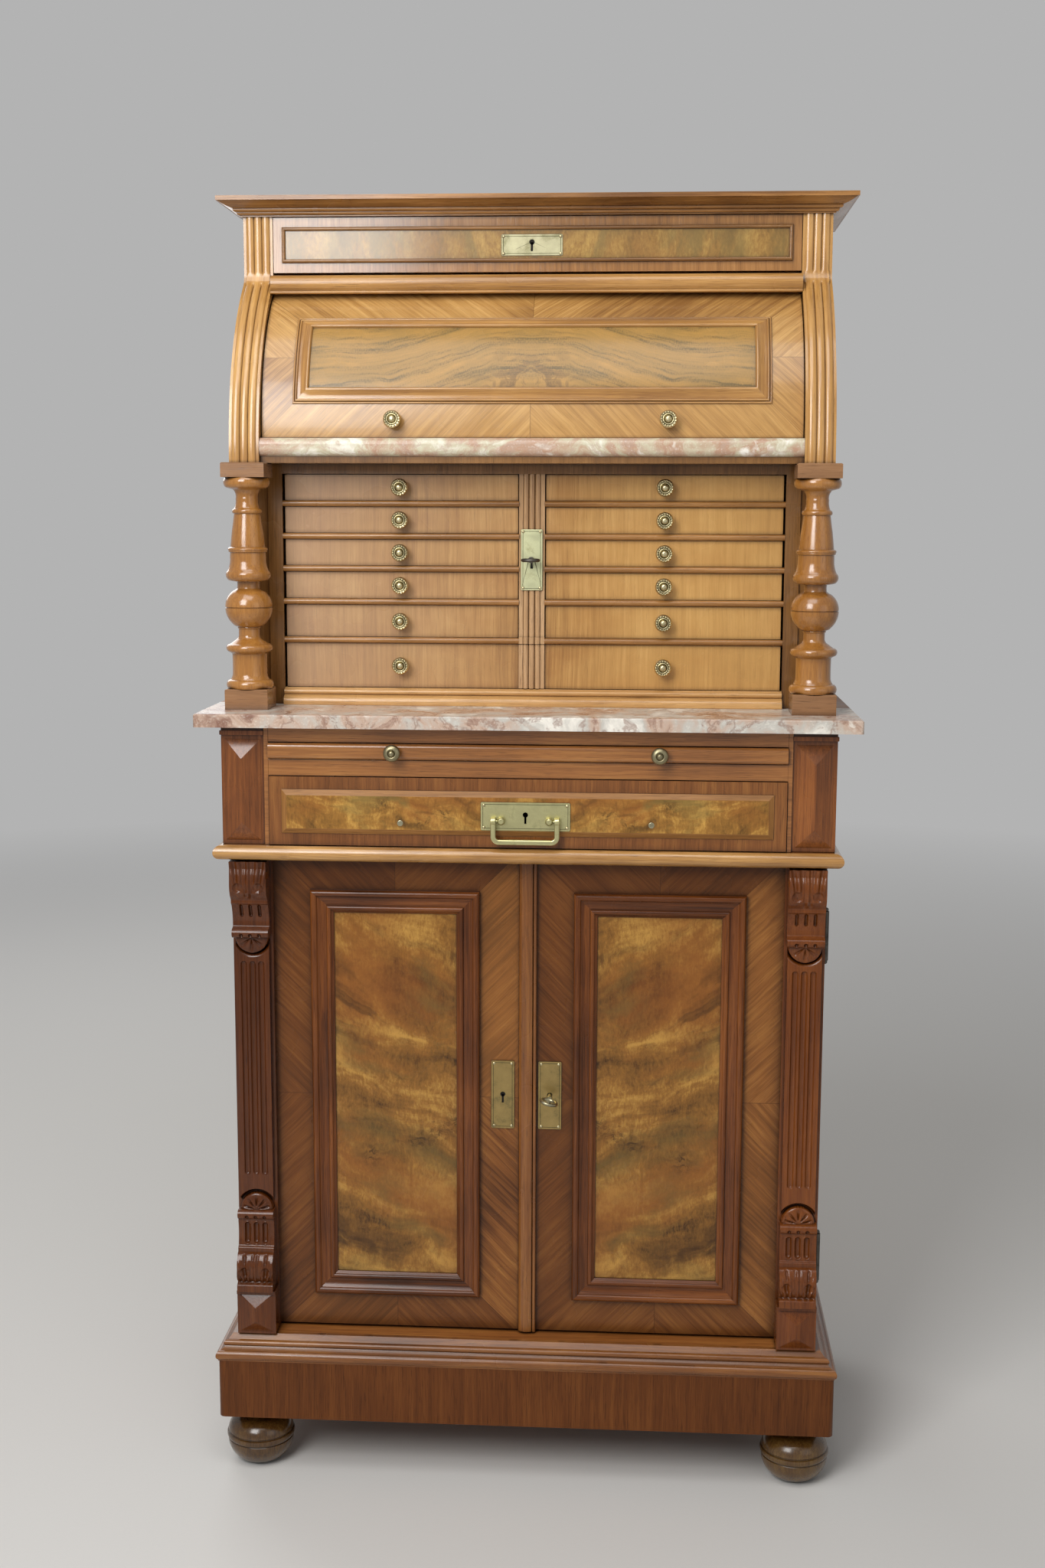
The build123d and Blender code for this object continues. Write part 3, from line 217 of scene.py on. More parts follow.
class Net:
    """Nodes of a world or a material, with short words for the common ones."""

    def __init__(self, owner):
        owner.use_nodes = True
        self.tree = owner.node_tree

    def put(self, socket, value):
        if isinstance(value, bpy.types.NodeSocket):
            self.tree.links.new(value, socket)
        elif hasattr(value, "__len__") and len(value) == 3 and socket.type == "RGBA":
            socket.default_value = (*value, 1.0)
        else:
            socket.default_value = value

    def node(self, kind, out=0, ins=None, **props):
        n = self.tree.nodes.new("ShaderNode" + kind)
        for key, value in props.items():
            setattr(n, key, value)
        for key, value in (ins or {}).items():
            self.put(n.inputs[key], value)
        return n.outputs[out]

    def math(self, op, a, b=0.0, c=0.0):
        return self.node("Math", ins={0: a, 1: b, 2: c}, operation=op)

    add = partialmethod(math, "ADD")
    sub = partialmethod(math, "SUBTRACT")
    mul = partialmethod(math, "MULTIPLY")
    mad = partialmethod(math, "MULTIPLY_ADD")
    mag = partialmethod(math, "ABSOLUTE")
    more = partialmethod(math, "GREATER_THAN")

    def lean(self, base, *parts):
        """base + the sum of k (value - 1/2) over the parts (value, k)."""
        for value, k in parts:
            base = self.mad(self.sub(value, 0.5), k, base)
        return base

    def mix(self, fac, a, b, blend="MIX"):
        return self.node("Mix", out=2, ins={0: fac, 6: a, 7: b}, data_type="RGBA", blend_type=blend)

    def pick(self, fac, a, b):
        """Number a where fac is 0, b where it is 1."""
        return self.node("Mix", out=0, ins={0: fac, 2: a, 3: b}, data_type="FLOAT")

    def span(self, value, low, high, to_low=0.0, to_high=1.0):
        return self.node("MapRange", ins={0: value, 1: low, 2: high, 3: to_low, 4: to_high})

    def ramp(self, fac, stops):
        n = self.tree.nodes.new("ShaderNodeValToRGB")
        els = n.color_ramp.elements
        for _ in stops[2:]:
            els.new(0.5)
        for e, (at, rgb) in zip(els, stops):
            e.position = at
            e.color = (*rgb, 1.0)
        self.put(n.inputs[0], fac)
        return n.outputs[0]

    def noise(self, vec, scale, detail=2.0, rough=0.5, warp=0.0, out=0):
        return self.node("TexNoise", out=out, ins={"Vector": vec, "Scale": scale, "Detail": detail,
                                                   "Roughness": rough, "Distortion": warp})

    def stretch(self, vec, scale=(1, 1, 1), turn=(0, 0, 0), shift=(0, 0, 0)):
        return self.node("Mapping", ins={"Vector": vec, "Location": shift, "Rotation": turn, "Scale": scale})

    def wander(self, vec, scale, much, detail=2.0):
        """vec pushed about by soft noise, so that lines along it wave."""
        push = self.noise(vec, scale, detail, out=1)
        push = self.node("VectorMath", ins={0: push, 1: (0.5, 0.5, 0.5)}, operation="SUBTRACT")
        return self.node("VectorMath", ins={0: push, 1: (much, much, much), 2: vec}, operation="MULTIPLY_ADD")

    def at(self):
        """The point, in metres."""
        return self.node("TexCoord", out=3)

    def split(self, vec):
        n = self.tree.nodes.new("ShaderNodeSeparateXYZ")
        self.put(n.inputs[0], vec)
        return n.outputs

    def place(self):
        """X, Y and Z of the point."""
        return self.split(self.at())

    def join(self, x, y, z):
        return self.node("CombineXYZ", ins={0: x, 1: y, 2: z})

    def grime(self, colour, dirt, reach, low=0.3, high=0.92):
        """Colour darkened in folds and where pieces meet: old wax and dust, and painted shade from ambient occlusion.
        """
        # Painted shade: ambient occlusion darkens folds and the places where pieces meet
        ao = self.node("AmbientOcclusion", out=1, ins={"Distance": reach * MM}, samples=6)
        return self.mix(self.span(ao, low, high), dirt, colour)

    def bump(self, height, strength, mm):
        return self.node("Bump", ins={"Strength": strength, "Distance": mm * MM, "Height": height})


class Paint(Net):
    """One material: a principled surface and its nodes."""

    def __init__(self, name):
        self.mat = bpy.data.materials.new(name)
        super().__init__(self.mat)
        self.tree.nodes.clear()
        self.out = self.tree.nodes.new("ShaderNodeOutputMaterial")
        self.bsdf = self.tree.nodes.new("ShaderNodeBsdfPrincipled")
        self.tree.links.new(self.bsdf.outputs[0], self.out.inputs[0])

    def cover(self, colour, rough, normal=None):
        self.put(self.bsdf.inputs["Base Color"], colour)
        self.put(self.bsdf.inputs["Roughness"], rough)
        if normal:
            self.put(self.bsdf.inputs["Normal"], normal)
        return self.mat


def timber(net, vec, wood, seed=0.0, figure=60.0, contrast=1.0, pores=0.5):
    """Wood with its grain along vec's Z: stripes, lines, fibres and pores are noise drawn out along the grain, over
    slow patches of tone. Returns its colour and its height."""
    vec = net.stretch(vec, shift=(seed, seed * 1.7, seed * 0.6))
    wavy = net.wander(vec, 5.0, 0.014)
    stripes = net.noise(net.stretch(wavy, (1, 1, 0.045)), figure, 3.0, 0.55)
    lines = net.noise(net.stretch(wavy, (1, 1, 0.014)), 300.0, 3.0, 0.65)
    fibres = net.noise(net.stretch(vec, (1, 1, 0.02)), 950.0, 2.0, 0.6)
    pore = net.span(net.noise(net.stretch(vec, (1, 1, 0.028)), 1500.0, 1.0), 0.60, 0.70)
    patch = net.noise(vec, 6.0, 3.0)
    tone = net.lean(0.5, (stripes, 0.5 * contrast), (lines, 0.62 * contrast), (fibres, 0.3 * contrast),
                    (patch, 0.7 * contrast))
    dark, mid, light = wood
    colour = net.ramp(tone, [(0.24, dark), (0.5, mid), (0.76, light)])
    colour = net.mix(net.mul(pore, pores), colour, shade(dark, 0.6))
    height = net.sub(fibres, net.mul(pore, 0.8))
    return colour, height


def polish(net, colour, height, dirt, rough=(0.30, 0.46), coat=0.0, bump=0.12, reach=9.0, gloss=0.3, low=0.3):
    """Shellac finish: old wax, dust and painted shade in the folds, uneven gloss, open grain."""
    colour = net.grime(colour, dirt, reach, low)
    smear = net.noise(net.at(), 9.0, 3.0, 0.6)
    net.cover(colour, net.span(smear, 0.3, 0.7, *rough), net.bump(height, bump, 0.35))
    net.bsdf.inputs["Specular IOR Level"].default_value = gloss
    net.bsdf.inputs["Coat Weight"].default_value = coat
    net.bsdf.inputs["Coat Roughness"].default_value = 0.14
    return net.mat


def grain_along(order):
    """Grain along the last axis of three."""
    def build(net):
        place = net.place()
        return net.join(*(place[axis] for axis in order))
    return build


grain_x, grain_y, grain_z = (grain_along(order) for order in ((1, 2, 0), (0, 2, 1), (0, 1, 2)))


def grain_board(net):
    """Grain upright on upright faces, and along X on level ones."""
    x, y, z = net.place()
    level = net.more(net.mag(net.split(net.node("NewGeometry", out=1))[2]), 0.7)
    return net.join(net.pick(level, x, y), net.pick(level, y, z), net.pick(level, z, x))


def grain_round(w, yf):
    """Grain along a moulding that runs across the front and back along the sides, mitred at the corners:
    the side begins where |x| - w is more than yf - y."""
    def build(net):
        x, y, z = net.place()
        over = net.sub(net.mag(x), w * MM)
        side = net.more(over, net.sub(yf * MM, y))
        return net.join(z, net.mul(side, 0.7), net.pick(side, x, y))
    return build


def grain_frame(xc, zc, hw, hh):
    """Grain along the four mitred lengths of a frame round a field."""
    def build(net):
        x, y, z = net.place()
        p = net.sub(net.mag(net.sub(x, xc * MM)), hw * MM)
        q = net.sub(net.mag(net.sub(z, zc * MM)), hh * MM)
        upright = net.more(p, q)
        return net.join(net.pick(upright, z, x), y, net.pick(upright, x, z))
    return build


def grain_uv(net):
    """Grain along V of the piece's own map, in metres."""
    u, v, _ = net.split(net.node("TexCoord", out=2))
    return net.join(u, 0.0, v)


def wood_finish(name, grain, wood, seed=0.0, **kw):
    look = {k: kw.pop(k) for k in ("figure", "contrast", "pores") if k in kw}
    net = Paint(name)
    colour, height = timber(net, grain(net), wood, seed, **look)
    return polish(net, colour, height, shade(wood[0], 0.35), **kw)


def drawer_front_finish(honey):
    """Veneer of the bank's drawers: plain fine grain with darker stains, a painted greyish-pink reflection of the
    window towards the left, and golden at the right."""
    net = Paint("Honey drawer veneer")
    colour, height = timber(net, grain_z(net), honey, 2.4, figure=120.0, contrast=0.55, pores=0.35)
    x, _, z = net.place()
    blot = net.noise(net.join(net.mul(x, 0.6), 0.0, z), 16.0, 3.0, 0.6)
    colour = net.mix(net.span(blot, 0.42, 0.68, 0.0, 0.7), colour, (0.78, 0.66, 0.58), "MULTIPLY")
    # Painted reflection: the window's glare on the left drawers, mixed in as a pale greyish pink
    colour = net.mix(net.span(x, -0.30, 0.03, 0.5, 0.0), colour, srgb(184, 156, 134))
    colour = net.mix(net.span(x, 0.02, 0.16, 0.0, 0.35), colour, srgb(216, 168, 92))
    return polish(net, colour, height, shade(honey[0], 0.35), rough=(0.2, 0.34), reach=6.0, gloss=0.4, coat=0.3)


def roll_arc(net, y, z):
    """Length of arc up the roll front from its middle, from the angle about its axis."""
    a = net.math("ARCTAN2", net.sub(z, ROLL_AXIS[1] * MM), net.sub(ROLL_AXIS[0] * MM, y))
    return net.mul(net.sub(a, math.radians(ROLL_ARC_MID)), ROLL_R * MM)


def crossband_finish(name, wood, xc, zc, hw, hh, roll=False, seed=0.0, leaves=(0, 0, 0, 0), **kw):
    """Veneer laid at 45 degrees round a field, mirrored in four quarters: its grain runs along
    |x - xc| + |z - zc|, its stripes change with |x - xc| - |z - zc|; seams show at mitres and middles. The leaves at
    left, right, top and bottom are each as dark as their number says."""
    net = Paint(name)
    x, y, z = net.place()
    p = net.sub(x, xc * MM)
    q = roll_arc(net, y, z) if roll else net.sub(z, zc * MM)
    ap = net.mag(p)
    aq = net.mag(q)
    diagonal = 0.7071
    along = net.mul(net.add(ap, aq), diagonal)
    across = net.mul(net.sub(ap, aq), diagonal)
    edge = net.sub(net.sub(ap, hw * MM), net.sub(aq, hh * MM))
    upright = net.more(edge, 0.0)
    leaf = net.mad(net.math("SIGN", p), 0.37, net.mul(net.math("SIGN", q), 0.71))
    leaf = net.mad(upright, 1.9, leaf)
    colour, height = timber(net, net.join(across, leaf, along), wood, seed, figure=150.0, contrast=1.15)
    lift = net.noise(net.join(leaf, leaf, seed), 3.3, 0.0)
    colour = net.mix(net.span(lift, 0.35, 0.65, 0.0, 0.3), colour, wood[2])
    flank = net.pick(net.more(p, 0.0), leaves[0], leaves[1])
    ends = net.pick(net.more(q, 0.0), leaves[3], leaves[2])
    colour = net.mix(net.pick(upright, ends, flank), colour, (0.50, 0.40, 0.32), "MULTIPLY")
    seam = net.math("LESS_THAN", net.math("MINIMUM", net.mag(edge), net.math("MINIMUM", ap, aq)), 0.0005)
    colour = net.mix(net.mul(seam, 0.45), colour, shade(wood[0], 0.5))
    # Reach of 22 mm by default: painted shade and dust spread well out from the mouldings
    return polish(net, colour, height, shade(wood[0], 0.4), rough=(0.2, 0.36), reach=kw.pop("reach", 22.0), **kw)


def burl(net, vec, woods, coarse=1.0, slant=0.4, eyes=(), depth=1.0):
    """Burl figure on vec's X and Y: bands of noise drawn out along a slant and folded over by noise, ripple across
    them, smoky streaks, olive and red shadows along them, and eyes, each dark curled specks that fade as exp(-(d/r)^2).
    Returns colour and height."""
    dark, mid, light, olive, red = woods
    folded = net.wander(net.wander(vec, 4.2 * coarse, 0.10 / coarse, 2.0), 15.0 * coarse, 0.030 / coarse, 4.0)
    slope = net.stretch(net.stretch(folded, turn=(0, 0, -slant)), (0.36, 1, 1))
    bands = net.noise(slope, 15.0 * coarse, 7.0, 0.6, 0.35)
    smoke = net.noise(net.stretch(slope, (0.7, 1, 1), shift=(3.1, 0.4, 0.0)), 21.0 * coarse, 6.0, 0.62, 0.5)
    ripple = net.noise(net.stretch(folded, (1, 0.10, 1)), 150.0, 3.0, 0.6)
    fine = net.noise(net.stretch(net.wander(vec, 60.0, 0.008), (1, 0.35, 1)), 380.0, 4.0, 0.7)
    tone = net.lean(0.5, (bands, 2.1 * depth), (ripple, 0.32), (fine, 0.6))
    colour = net.ramp(tone, [(0.10, dark), (0.32, shade(mid, 0.66)), (0.50, mid), (0.72, light),
                             (0.95, shade(light, 1.2))])
    full = min(1.0, 0.4 + depth)
    for shift, scale, detail, rough, low, high, much, shadow in (
            ((2.3, 5.1, 0.7), 9.0, 5.0, 0.55, 0.50, 0.64, 0.6, red),
            ((7.9, 1.3, 2.2), 13.0, 6.0, 0.6, 0.51, 0.65, 0.8, olive)):
        drift = net.noise(net.stretch(slope, shift=shift), scale * coarse, detail, rough)
        colour = net.mix(net.span(drift, low, high, 0.0, much * full), colour, shadow)
    colour = net.mix(net.span(smoke, 0.57, 0.72, 0.0, 0.85 * depth), colour, dark)
    curled = net.wander(net.wander(vec, 55.0, 0.026, 4.0), 190.0, 0.008, 3.0)
    speck = net.span(net.noise(net.stretch(curled, (1, 1.5, 1)), 120.0, 4.0, 0.65, 0.8), 0.45, 0.60, 0.05, 0.85)
    for x, y, z, r in eyes:
        d = net.node("VectorMath", out=1, ins={0: curled, 1: (x, y, z)}, operation="DISTANCE")
        fade = net.math("EXPONENT", net.mul(net.math("POWER", net.math("DIVIDE", d, r), 2.0), -1.0))
        colour = net.mix(net.mul(fade, speck), colour, shade(dark, 0.8))
    return colour, fine


def burl_finish(name, zc, seed=0.0, tone=(1, 1, 1), green=0.0, **kw):
    """Book-matched burl on an upright face, mirrored about x = 0."""
    c = colours()
    net = Paint(name)
    x, _, z = net.place()
    vec = net.join(net.mag(x), net.sub(z, zc * MM), seed)
    red = blend(c.red_light, c.burl, 0.6, 0.4)
    coat = kw.pop("coat", 0.1)
    kw["eyes"] = [(ex, ey, seed, er) for ex, ey, er in kw.get("eyes", ())]
    woods = stain((c.burl_dark, c.burl, c.burl_light, c.olive, red), tone)
    woods = [blend(v, c.olive, 1 - green, green) for v in woods]
    colour, height = burl(net, vec, woods, **kw)
    return polish(net, colour, height, shade(c.burl_dark, 0.4), rough=(0.22, 0.36), bump=0.05, reach=14.0,
                  coat=coat)


def roll_field_finish():
    """Figure of the roll front's field: long grain lines of constant q - A exp(-(x / w)^2), which rise to the middle,
    dark where a noise of that line alone is low, and a mirrored crotch figure with curled eyes near the middle."""
    c = colours()
    net = Paint("Roll field veneer")
    x, y, z = net.place()
    q = roll_arc(net, y, z)
    ax = net.mag(x)
    soft = net.split(net.wander(net.join(ax, q, 0.3), 7.0, 0.05, 3.0))[1]
    ratio = net.math("DIVIDE", ax, 0.125)
    rise = net.math("EXPONENT", net.mul(net.mul(ratio, ratio), -1.0))
    line = net.mad(rise, -0.055, soft)
    vec = net.join(net.mul(ax, 0.06), line, 0.0)
    bands = net.noise(vec, 40.0, 3.0, 0.55)
    lines = net.noise(vec, 240.0, 4.0, 0.65)
    fine = net.noise(net.join(net.mul(ax, 3.0), q, 0.0), 260.0, 3.0, 0.6)
    tone = net.lean(0.54, (bands, 0.75), (lines, 0.85), (fine, 0.4))
    gold = shade(blend(c.burl, c.burl_light, 0.4, 0.6), (0.92, 1.0, 1.1))
    colour = net.ramp(tone, [(0.18, shade(c.olive, 0.45)), (0.36, c.olive), (0.52, gold), (0.8, c.burl_light)])
    haze = net.noise(net.join(ax, q, 0.8), 9.0, 4.0, 0.6, 0.8)
    colour = net.mix(net.span(haze, 0.42, 0.66, 0.0, 0.6), colour, shade(c.olive, 1.5))
    fold = net.wander(net.join(ax, q, 1.4), 26.0, 0.035, 4.0)
    curl = net.span(net.noise(net.stretch(fold, (1.0, 1.5, 1)), 34.0, 5.0, 0.6, 1.2), 0.50, 0.60)
    near = net.mul(net.span(ax, 0.015, 0.085, 1.0, 0.0), net.span(q, -0.045, 0.01, 1.0, 0.1))
    colour = net.mix(net.mul(net.mul(curl, near), 0.75), colour, shade(c.burl_dark, 0.8))
    return polish(net, colour, lines, shade(c.burl_dark, 0.4), rough=(0.22, 0.34), bump=0.04, gloss=0.4, coat=0.15)


def marble_finish(name, ground, dark, cloud, third, scale):
    """Veined marble: warped clouds in three tones, pale broken patches from cells and thin dark veins."""
    net = Paint(name)
    at = net.at()
    folded = net.wander(at, scale, 0.09, 4.0)
    clouds = net.noise(folded, scale * 1.6, 8.0, 0.62, 0.8)
    colour = net.ramp(clouds, [(0.34, dark), (0.44, ground), (0.56, third), (0.68, cloud)])
    cells = net.node("TexVoronoi", out=0, ins={"Vector": net.wander(at, 30.0, 0.03, 3.0), "Scale": scale * 4.5})
    broken = net.span(net.noise(folded, scale * 3.0, 4.0, 0.6), 0.55, 0.66)
    broken = net.mul(broken, net.span(cells, 0.25, 0.55, 1.0, 0.0))
    colour = net.mix(broken, colour, cloud)
    vein = net.mag(net.sub(net.noise(folded, scale * 2.2, 5.0, 0.6), 0.5))
    colour = net.mix(net.span(vein, 0.0, 0.03, 0.65, 0.0), colour, dark)
    fleck = net.noise(at, 420.0, 2.0)
    colour = net.mix(net.span(fleck, 0.58, 0.7, 0.0, 0.25), colour, cloud)
    return net.cover(colour, net.span(clouds, 0.3, 0.7, 0.22, 0.42), net.bump(fleck, 0.05, 0.2))


def metal(name, rgb, tarnish, rough=(0.28, 0.5), reach=2.5):
    """Old metal: blotches of tarnish, dust and painted shade in the folds and fine wear lines."""
    net = Paint(name)
    at = net.at()
    blotch = net.noise(at, 60.0, 4.0, 0.55, 0.3)
    fine = net.noise(at, 900.0, 3.0, 0.6)
    colour = net.ramp(net.lean(blotch, (fine, 0.35)),
                      [(0.20, tarnish), (0.46, rgb), (0.80, tuple(min(1.0, v * 1.2) for v in rgb))])
    # Painted shade and dust: tarnish darkened in the folds by ambient occlusion
    colour = net.grime(colour, shade(tarnish, 0.35), reach, 0.25, 0.8)
    net.bsdf.inputs["Metallic"].default_value = 1.0
    wear = net.noise(net.stretch(at, (1, 1, 0.15)), 1500.0, 2.0)
    return net.cover(colour, net.span(blotch, 0.3, 0.7, rough[1], rough[0]), net.bump(wear, 0.08, 0.1))


def keyhole_finish():
    """Painted shadow inside a keyhole, near black, with a little dust."""
    net = Paint("Keyhole shadow")
    dust = net.noise(net.at(), 600.0, 3.0)
    return net.cover(net.ramp(dust, [(0.4, (0.004, 0.003, 0.002)), (0.8, (0.02, 0.013, 0.008))]), 0.9)


FINISH = {}


def finishes():
    """All finishes by name, made once."""
    if FINISH:
        return FINISH
    c = colours()
    honey, brown, red = tones("honey"), tones("brown"), tones("red")
    amber, russet, glow = blend_woods(honey, red), blend_woods(brown, red), blend_woods(honey, red, 0.85, 0.15)
    dusk = stain(amber, 0.66)
    pine = [c.pine_dark, blend(c.pine_dark, c.pine_light), c.pine_light]
    stained = blend_woods(red, brown, 0.55, 0.30)
    sheen = {"rough": (0.2, 0.34), "gloss": 0.4, "coat": 0.25}
    bright = {"rough": (0.16, 0.28), "gloss": 0.5}
    clear = {"rough": (0.18, 0.3), "gloss": 0.5}
    bare = {"rough": (0.55, 0.7)}
    for key, name, grain, wood, seed, look in (
            ("honey_z", "Honey walnut, upright", grain_board, honey, 1.1, dict(contrast=0.7)),
            ("frieze_front", "Frieze crossband", grain_z, amber, 2.9,
             dict(bright, figure=130.0, contrast=0.7, reach=6.0, coat=0.6)),
            ("honey_uv", "Honey post veneer", grain_uv, honey, 3.2, dict(clear, contrast=0.7, reach=5.0, coat=0.45)),
            ("turned", "Turned honey walnut", grain_z, stain(honey, (0.76, 0.62, 0.44)), 4.1,
             dict(contrast=0.5, rough=(0.12, 0.22), gloss=0.6, coat=0.4)),
            ("crown", "Cornice walnut", grain_round(365.0, -48.0), amber, 5.0, dict(sheen, reach=5.0)),
            ("glow_x", "Glowing rail", grain_x, glow, 5.3, dict(sheen, contrast=0.7, reach=2.0, low=0.15)),
            ("base_rail", "Bank base rail", grain_x, stain(honey, (1.05, 1.1, 1.35)), 5.35,
             dict(sheen, contrast=0.6, reach=2.0, low=0.1)),
            # Painted reflection: the stain greys and blues this walnut as the window's glare on it would
            ("rib", "Bank pilaster", grain_z, stain(glow, (1.02, 1.18, 1.95)), 5.4,
             dict(sheen, contrast=0.6, reach=3.0, low=0.1)),
            ("block", "Column block", grain_x, stain(amber, (0.95, 1.05, 1.7)), 5.5, dict(sheen, contrast=0.4)),
            ("amber_x", "Amber bead", grain_x, amber, 5.6, dict(sheen, contrast=0.7, reach=3.0)),
            ("dusk_x", "Dusky bead", grain_x, dusk, 6.0, sheen),
            ("dusk_z", "Dusky upright", grain_board, dusk, 6.1, dict(sheen, contrast=0.7, reach=6.0)),
            ("roll_rim", "Roll front moulding", grain_uv, glow, 6.3, dict(bright, contrast=0.7, reach=3.0, coat=0.4)),
            ("waist", "Waist moulding", grain_round(372.0, -199.0), glow, 6.9, dict(clear, coat=0.5)),
            ("brown_x", "Brown walnut, lengthwise", grain_x, brown, 7.4, dict(contrast=1.2)),
            ("slide", "Slide walnut", grain_x, stain(brown, (1.5, 1.65, 1.8)), 7.8,
             dict(bright, figure=90.0, contrast=0.6, reach=5.0, coat=0.5)),
            ("brown_z", "Brown walnut, upright", grain_z, brown, 8.2, dict(sheen, figure=110.0, contrast=0.65)),
            ("case", "Carcass boards", grain_board, stain(brown, 1.3), 8.5, dict(contrast=0.75, reach=5.0)),
            ("plinth", "Plinth veneer", grain_z, stain(russet, 0.74), 8.8,
             dict(figure=140.0, contrast=0.5, rough=(0.4, 0.52), gloss=0.2)),
            ("plinth_run", "Plinth moulding", grain_round(366.0, -190.0), brown, 9.3, dict(sheen, contrast=0.8)),
            ("russet_z", "Russet walnut, upright", grain_board, stain(russet, 1.2), 10.9, dict(sheen, contrast=0.8)),
            ("bevel", "Drawer bevel", grain_frame(0.0, DRAWER_PANEL_Z, *DRAWER_PANEL_HALF), amber, 11.6,
             dict(contrast=0.6, reach=3.0, gloss=0.3)),
            ("bun", "Bun foot walnut", grain_z, stain(brown, (0.42, 0.54, 0.5)), 12.6, dict(clear, coat=0.3)),
            ("pine_z", "Pine, upright", grain_z, pine, 13.1, bare),
            ("pine_x", "Pine, lengthwise", grain_x, pine, 13.7, bare),
            ("pine_y", "Pine, front to back", grain_y, pine, 14.2, bare)):
        FINISH[key] = wood_finish(name, grain, wood, seed, **look)
    carving = {"left": (0.58, 0.48, 0.35), "right": (0.86, 0.74, 0.54)}
    for side, s in SIDES:
        FINISH[side + "_carved"] = wood_finish("Carved walnut, " + side, grain_z, stain(russet, carving[side]), 11.9,
                                               contrast=0.6, reach=5.0, rough=(0.14, 0.26), coat=0.2, low=0.15)
        field = (s * DOOR_MID[0], DOOR_MID[1], *DOOR_FIELD_HALF)
        FINISH[side + "_band"] = crossband_finish(side.title() + " door crossband", brown, *field, seed=15.0 + s,
                                                  leaves=(0.85, 0.0, 0.95, 0.6))
        FINISH[side + "_mould"] = wood_finish(side.title() + " door moulding", grain_frame(*field), stained, 17.0 + s,
                                              reach=5.0, rough=(0.16, 0.3), coat=0.1)
    FINISH.update(
        front=drawer_front_finish(stain(honey, (0.96, 1.0, 1.12))),
        roll_band=crossband_finish("Roll front crossband", stain(honey, 0.84), 0.0, 0.0, *ROLL_RIM_HALF, roll=True,
                                   seed=19.0, coat=0.5, gloss=0.4, reach=5.0),
        roll_field=roll_field_finish(),
        door_burl=burl_finish("Door burl", zc=465.5, eyes=((0.088, -0.008, 0.014), (0.112, -0.02, 0.013),
                                                           (0.135, -0.034, 0.012), (0.196, -0.052, 0.014))),
        drawer_burl=burl_finish("Drawer burl", zc=855.5, seed=2.0, coarse=2.4, slant=0.25, green=0.2,
                                tone=(1.4, 1.45, 1.5), depth=0.9,
                                eyes=((0.10, 0.001, 0.013), (0.172, 0.012, 0.012), (0.125, -0.004, 0.009))),
        frieze_burl=burl_finish("Frieze burl", zc=1545.5, seed=4.0, coarse=1.8, slant=1.3, green=0.5,
                                tone=(1.7, 1.95, 2.3), coat=0.9, depth=0.4),
        marble=marble_finish("Red marble", c.rosso, c.rosso_dark, c.cream, shade(c.cream, 0.62), 9.0),
        shelf_marble=marble_finish("Pale marble", c.blush, shade(c.rosso, 0.9), c.cream, c.moss, 12.0),
        lock_brass=metal("Bank plate brass", shade(c.brass, (1.08, 1.16, 1.35)), shade(c.brass, 0.55)),
        frieze_brass=metal("Frieze plate brass", shade(c.brass, (0.6, 0.6, 0.72)), shade(c.brass, 0.35),
                           rough=(0.35, 0.5)),
        dull_brass=metal("Slide knob brass", shade(c.bronze, 0.5), shade(c.bronze, 0.25), reach=1.5),
        brass=metal("Aged brass", c.brass, shade(c.brass, 0.5)),
        old_brass=metal("Door brass", shade(c.brass, (0.68, 0.52, 0.40)), shade(c.brass, 0.25), rough=(0.3, 0.5)),
        scored=metal("Scored line", shade(c.brass, 0.16), shade(c.brass, 0.08), rough=(0.5, 0.7)),
        bronze=metal("Knob brass", c.bronze, shade(c.bronze, 0.45), rough=(0.24, 0.42), reach=1.5),
        iron=metal("Old iron", c.iron, shade(c.iron, 0.4), rough=(0.4, 0.65)),
        nickel=metal("Key metal", srgb(176, 170, 142), srgb(110, 100, 74), rough=(0.25, 0.4)),
        keyhole=keyhole_finish())
    return FINISH


# Meshes

def arcs(items, steps=10):
    """Points of an outline: an item of three values is the middle of the arc through its neighbours, and that
    arc is drawn with its circle's centre and sweep."""
    out = [items[0][:2]]
    i = 1
    while i < len(items):
        if len(items[i]) == 2:
            out.append(items[i])
            i += 1
            continue
        (ax, ay), (bx, by), (cx, cy) = out[-1], items[i][:2], items[i + 1][:2]
        d = 2 * (ax * (by - cy) + bx * (cy - ay) + cx * (ay - by))
        ux = ((ax * ax + ay * ay) * (by - cy) + (bx * bx + by * by) * (cy - ay) + (cx * cx + cy * cy) * (ay - by)) / d
        uy = ((ax * ax + ay * ay) * (cx - bx) + (bx * bx + by * by) * (ax - cx) + (cx * cx + cy * cy) * (bx - ax)) / d
        r = math.hypot(ax - ux, ay - uy)
        a0, am, a1 = (math.atan2(y - uy, x - ux) for x, y in ((ax, ay), (bx, by), (cx, cy)))
        turn = (a1 - a0) % (2 * math.pi)
        if (am - a0) % (2 * math.pi) > turn:
            turn -= 2 * math.pi
        t = a0 + turn * np.linspace(0, 1, steps + 1)[1:]
        out += list(zip(ux + r * np.cos(t), uy + r * np.sin(t)))
        i += 2
    return np.array(out, float)


def quads(rows, cols, wrap_cols=False):
    """Faces of a grid of rows by cols points."""
    r = np.arange(rows - 1)[:, None]
    c = np.arange(cols if wrap_cols else cols - 1)[None, :]
    low, high, c1 = r * cols, (r + 1) * cols, (c + 1) % cols
    return np.stack([low + c, low + c1, high + c1, high + c], -1).reshape(-1, 4)


def gather(parts):
    """Several (points, faces) as one."""
    points, faces, base = [], [], 0
    for p, f in parts:
        points.append(np.asarray(p, float).reshape(-1, 3))
        faces.append(np.asarray(f) + base)
        base += len(points[-1])
    return np.concatenate(points), np.concatenate(faces)


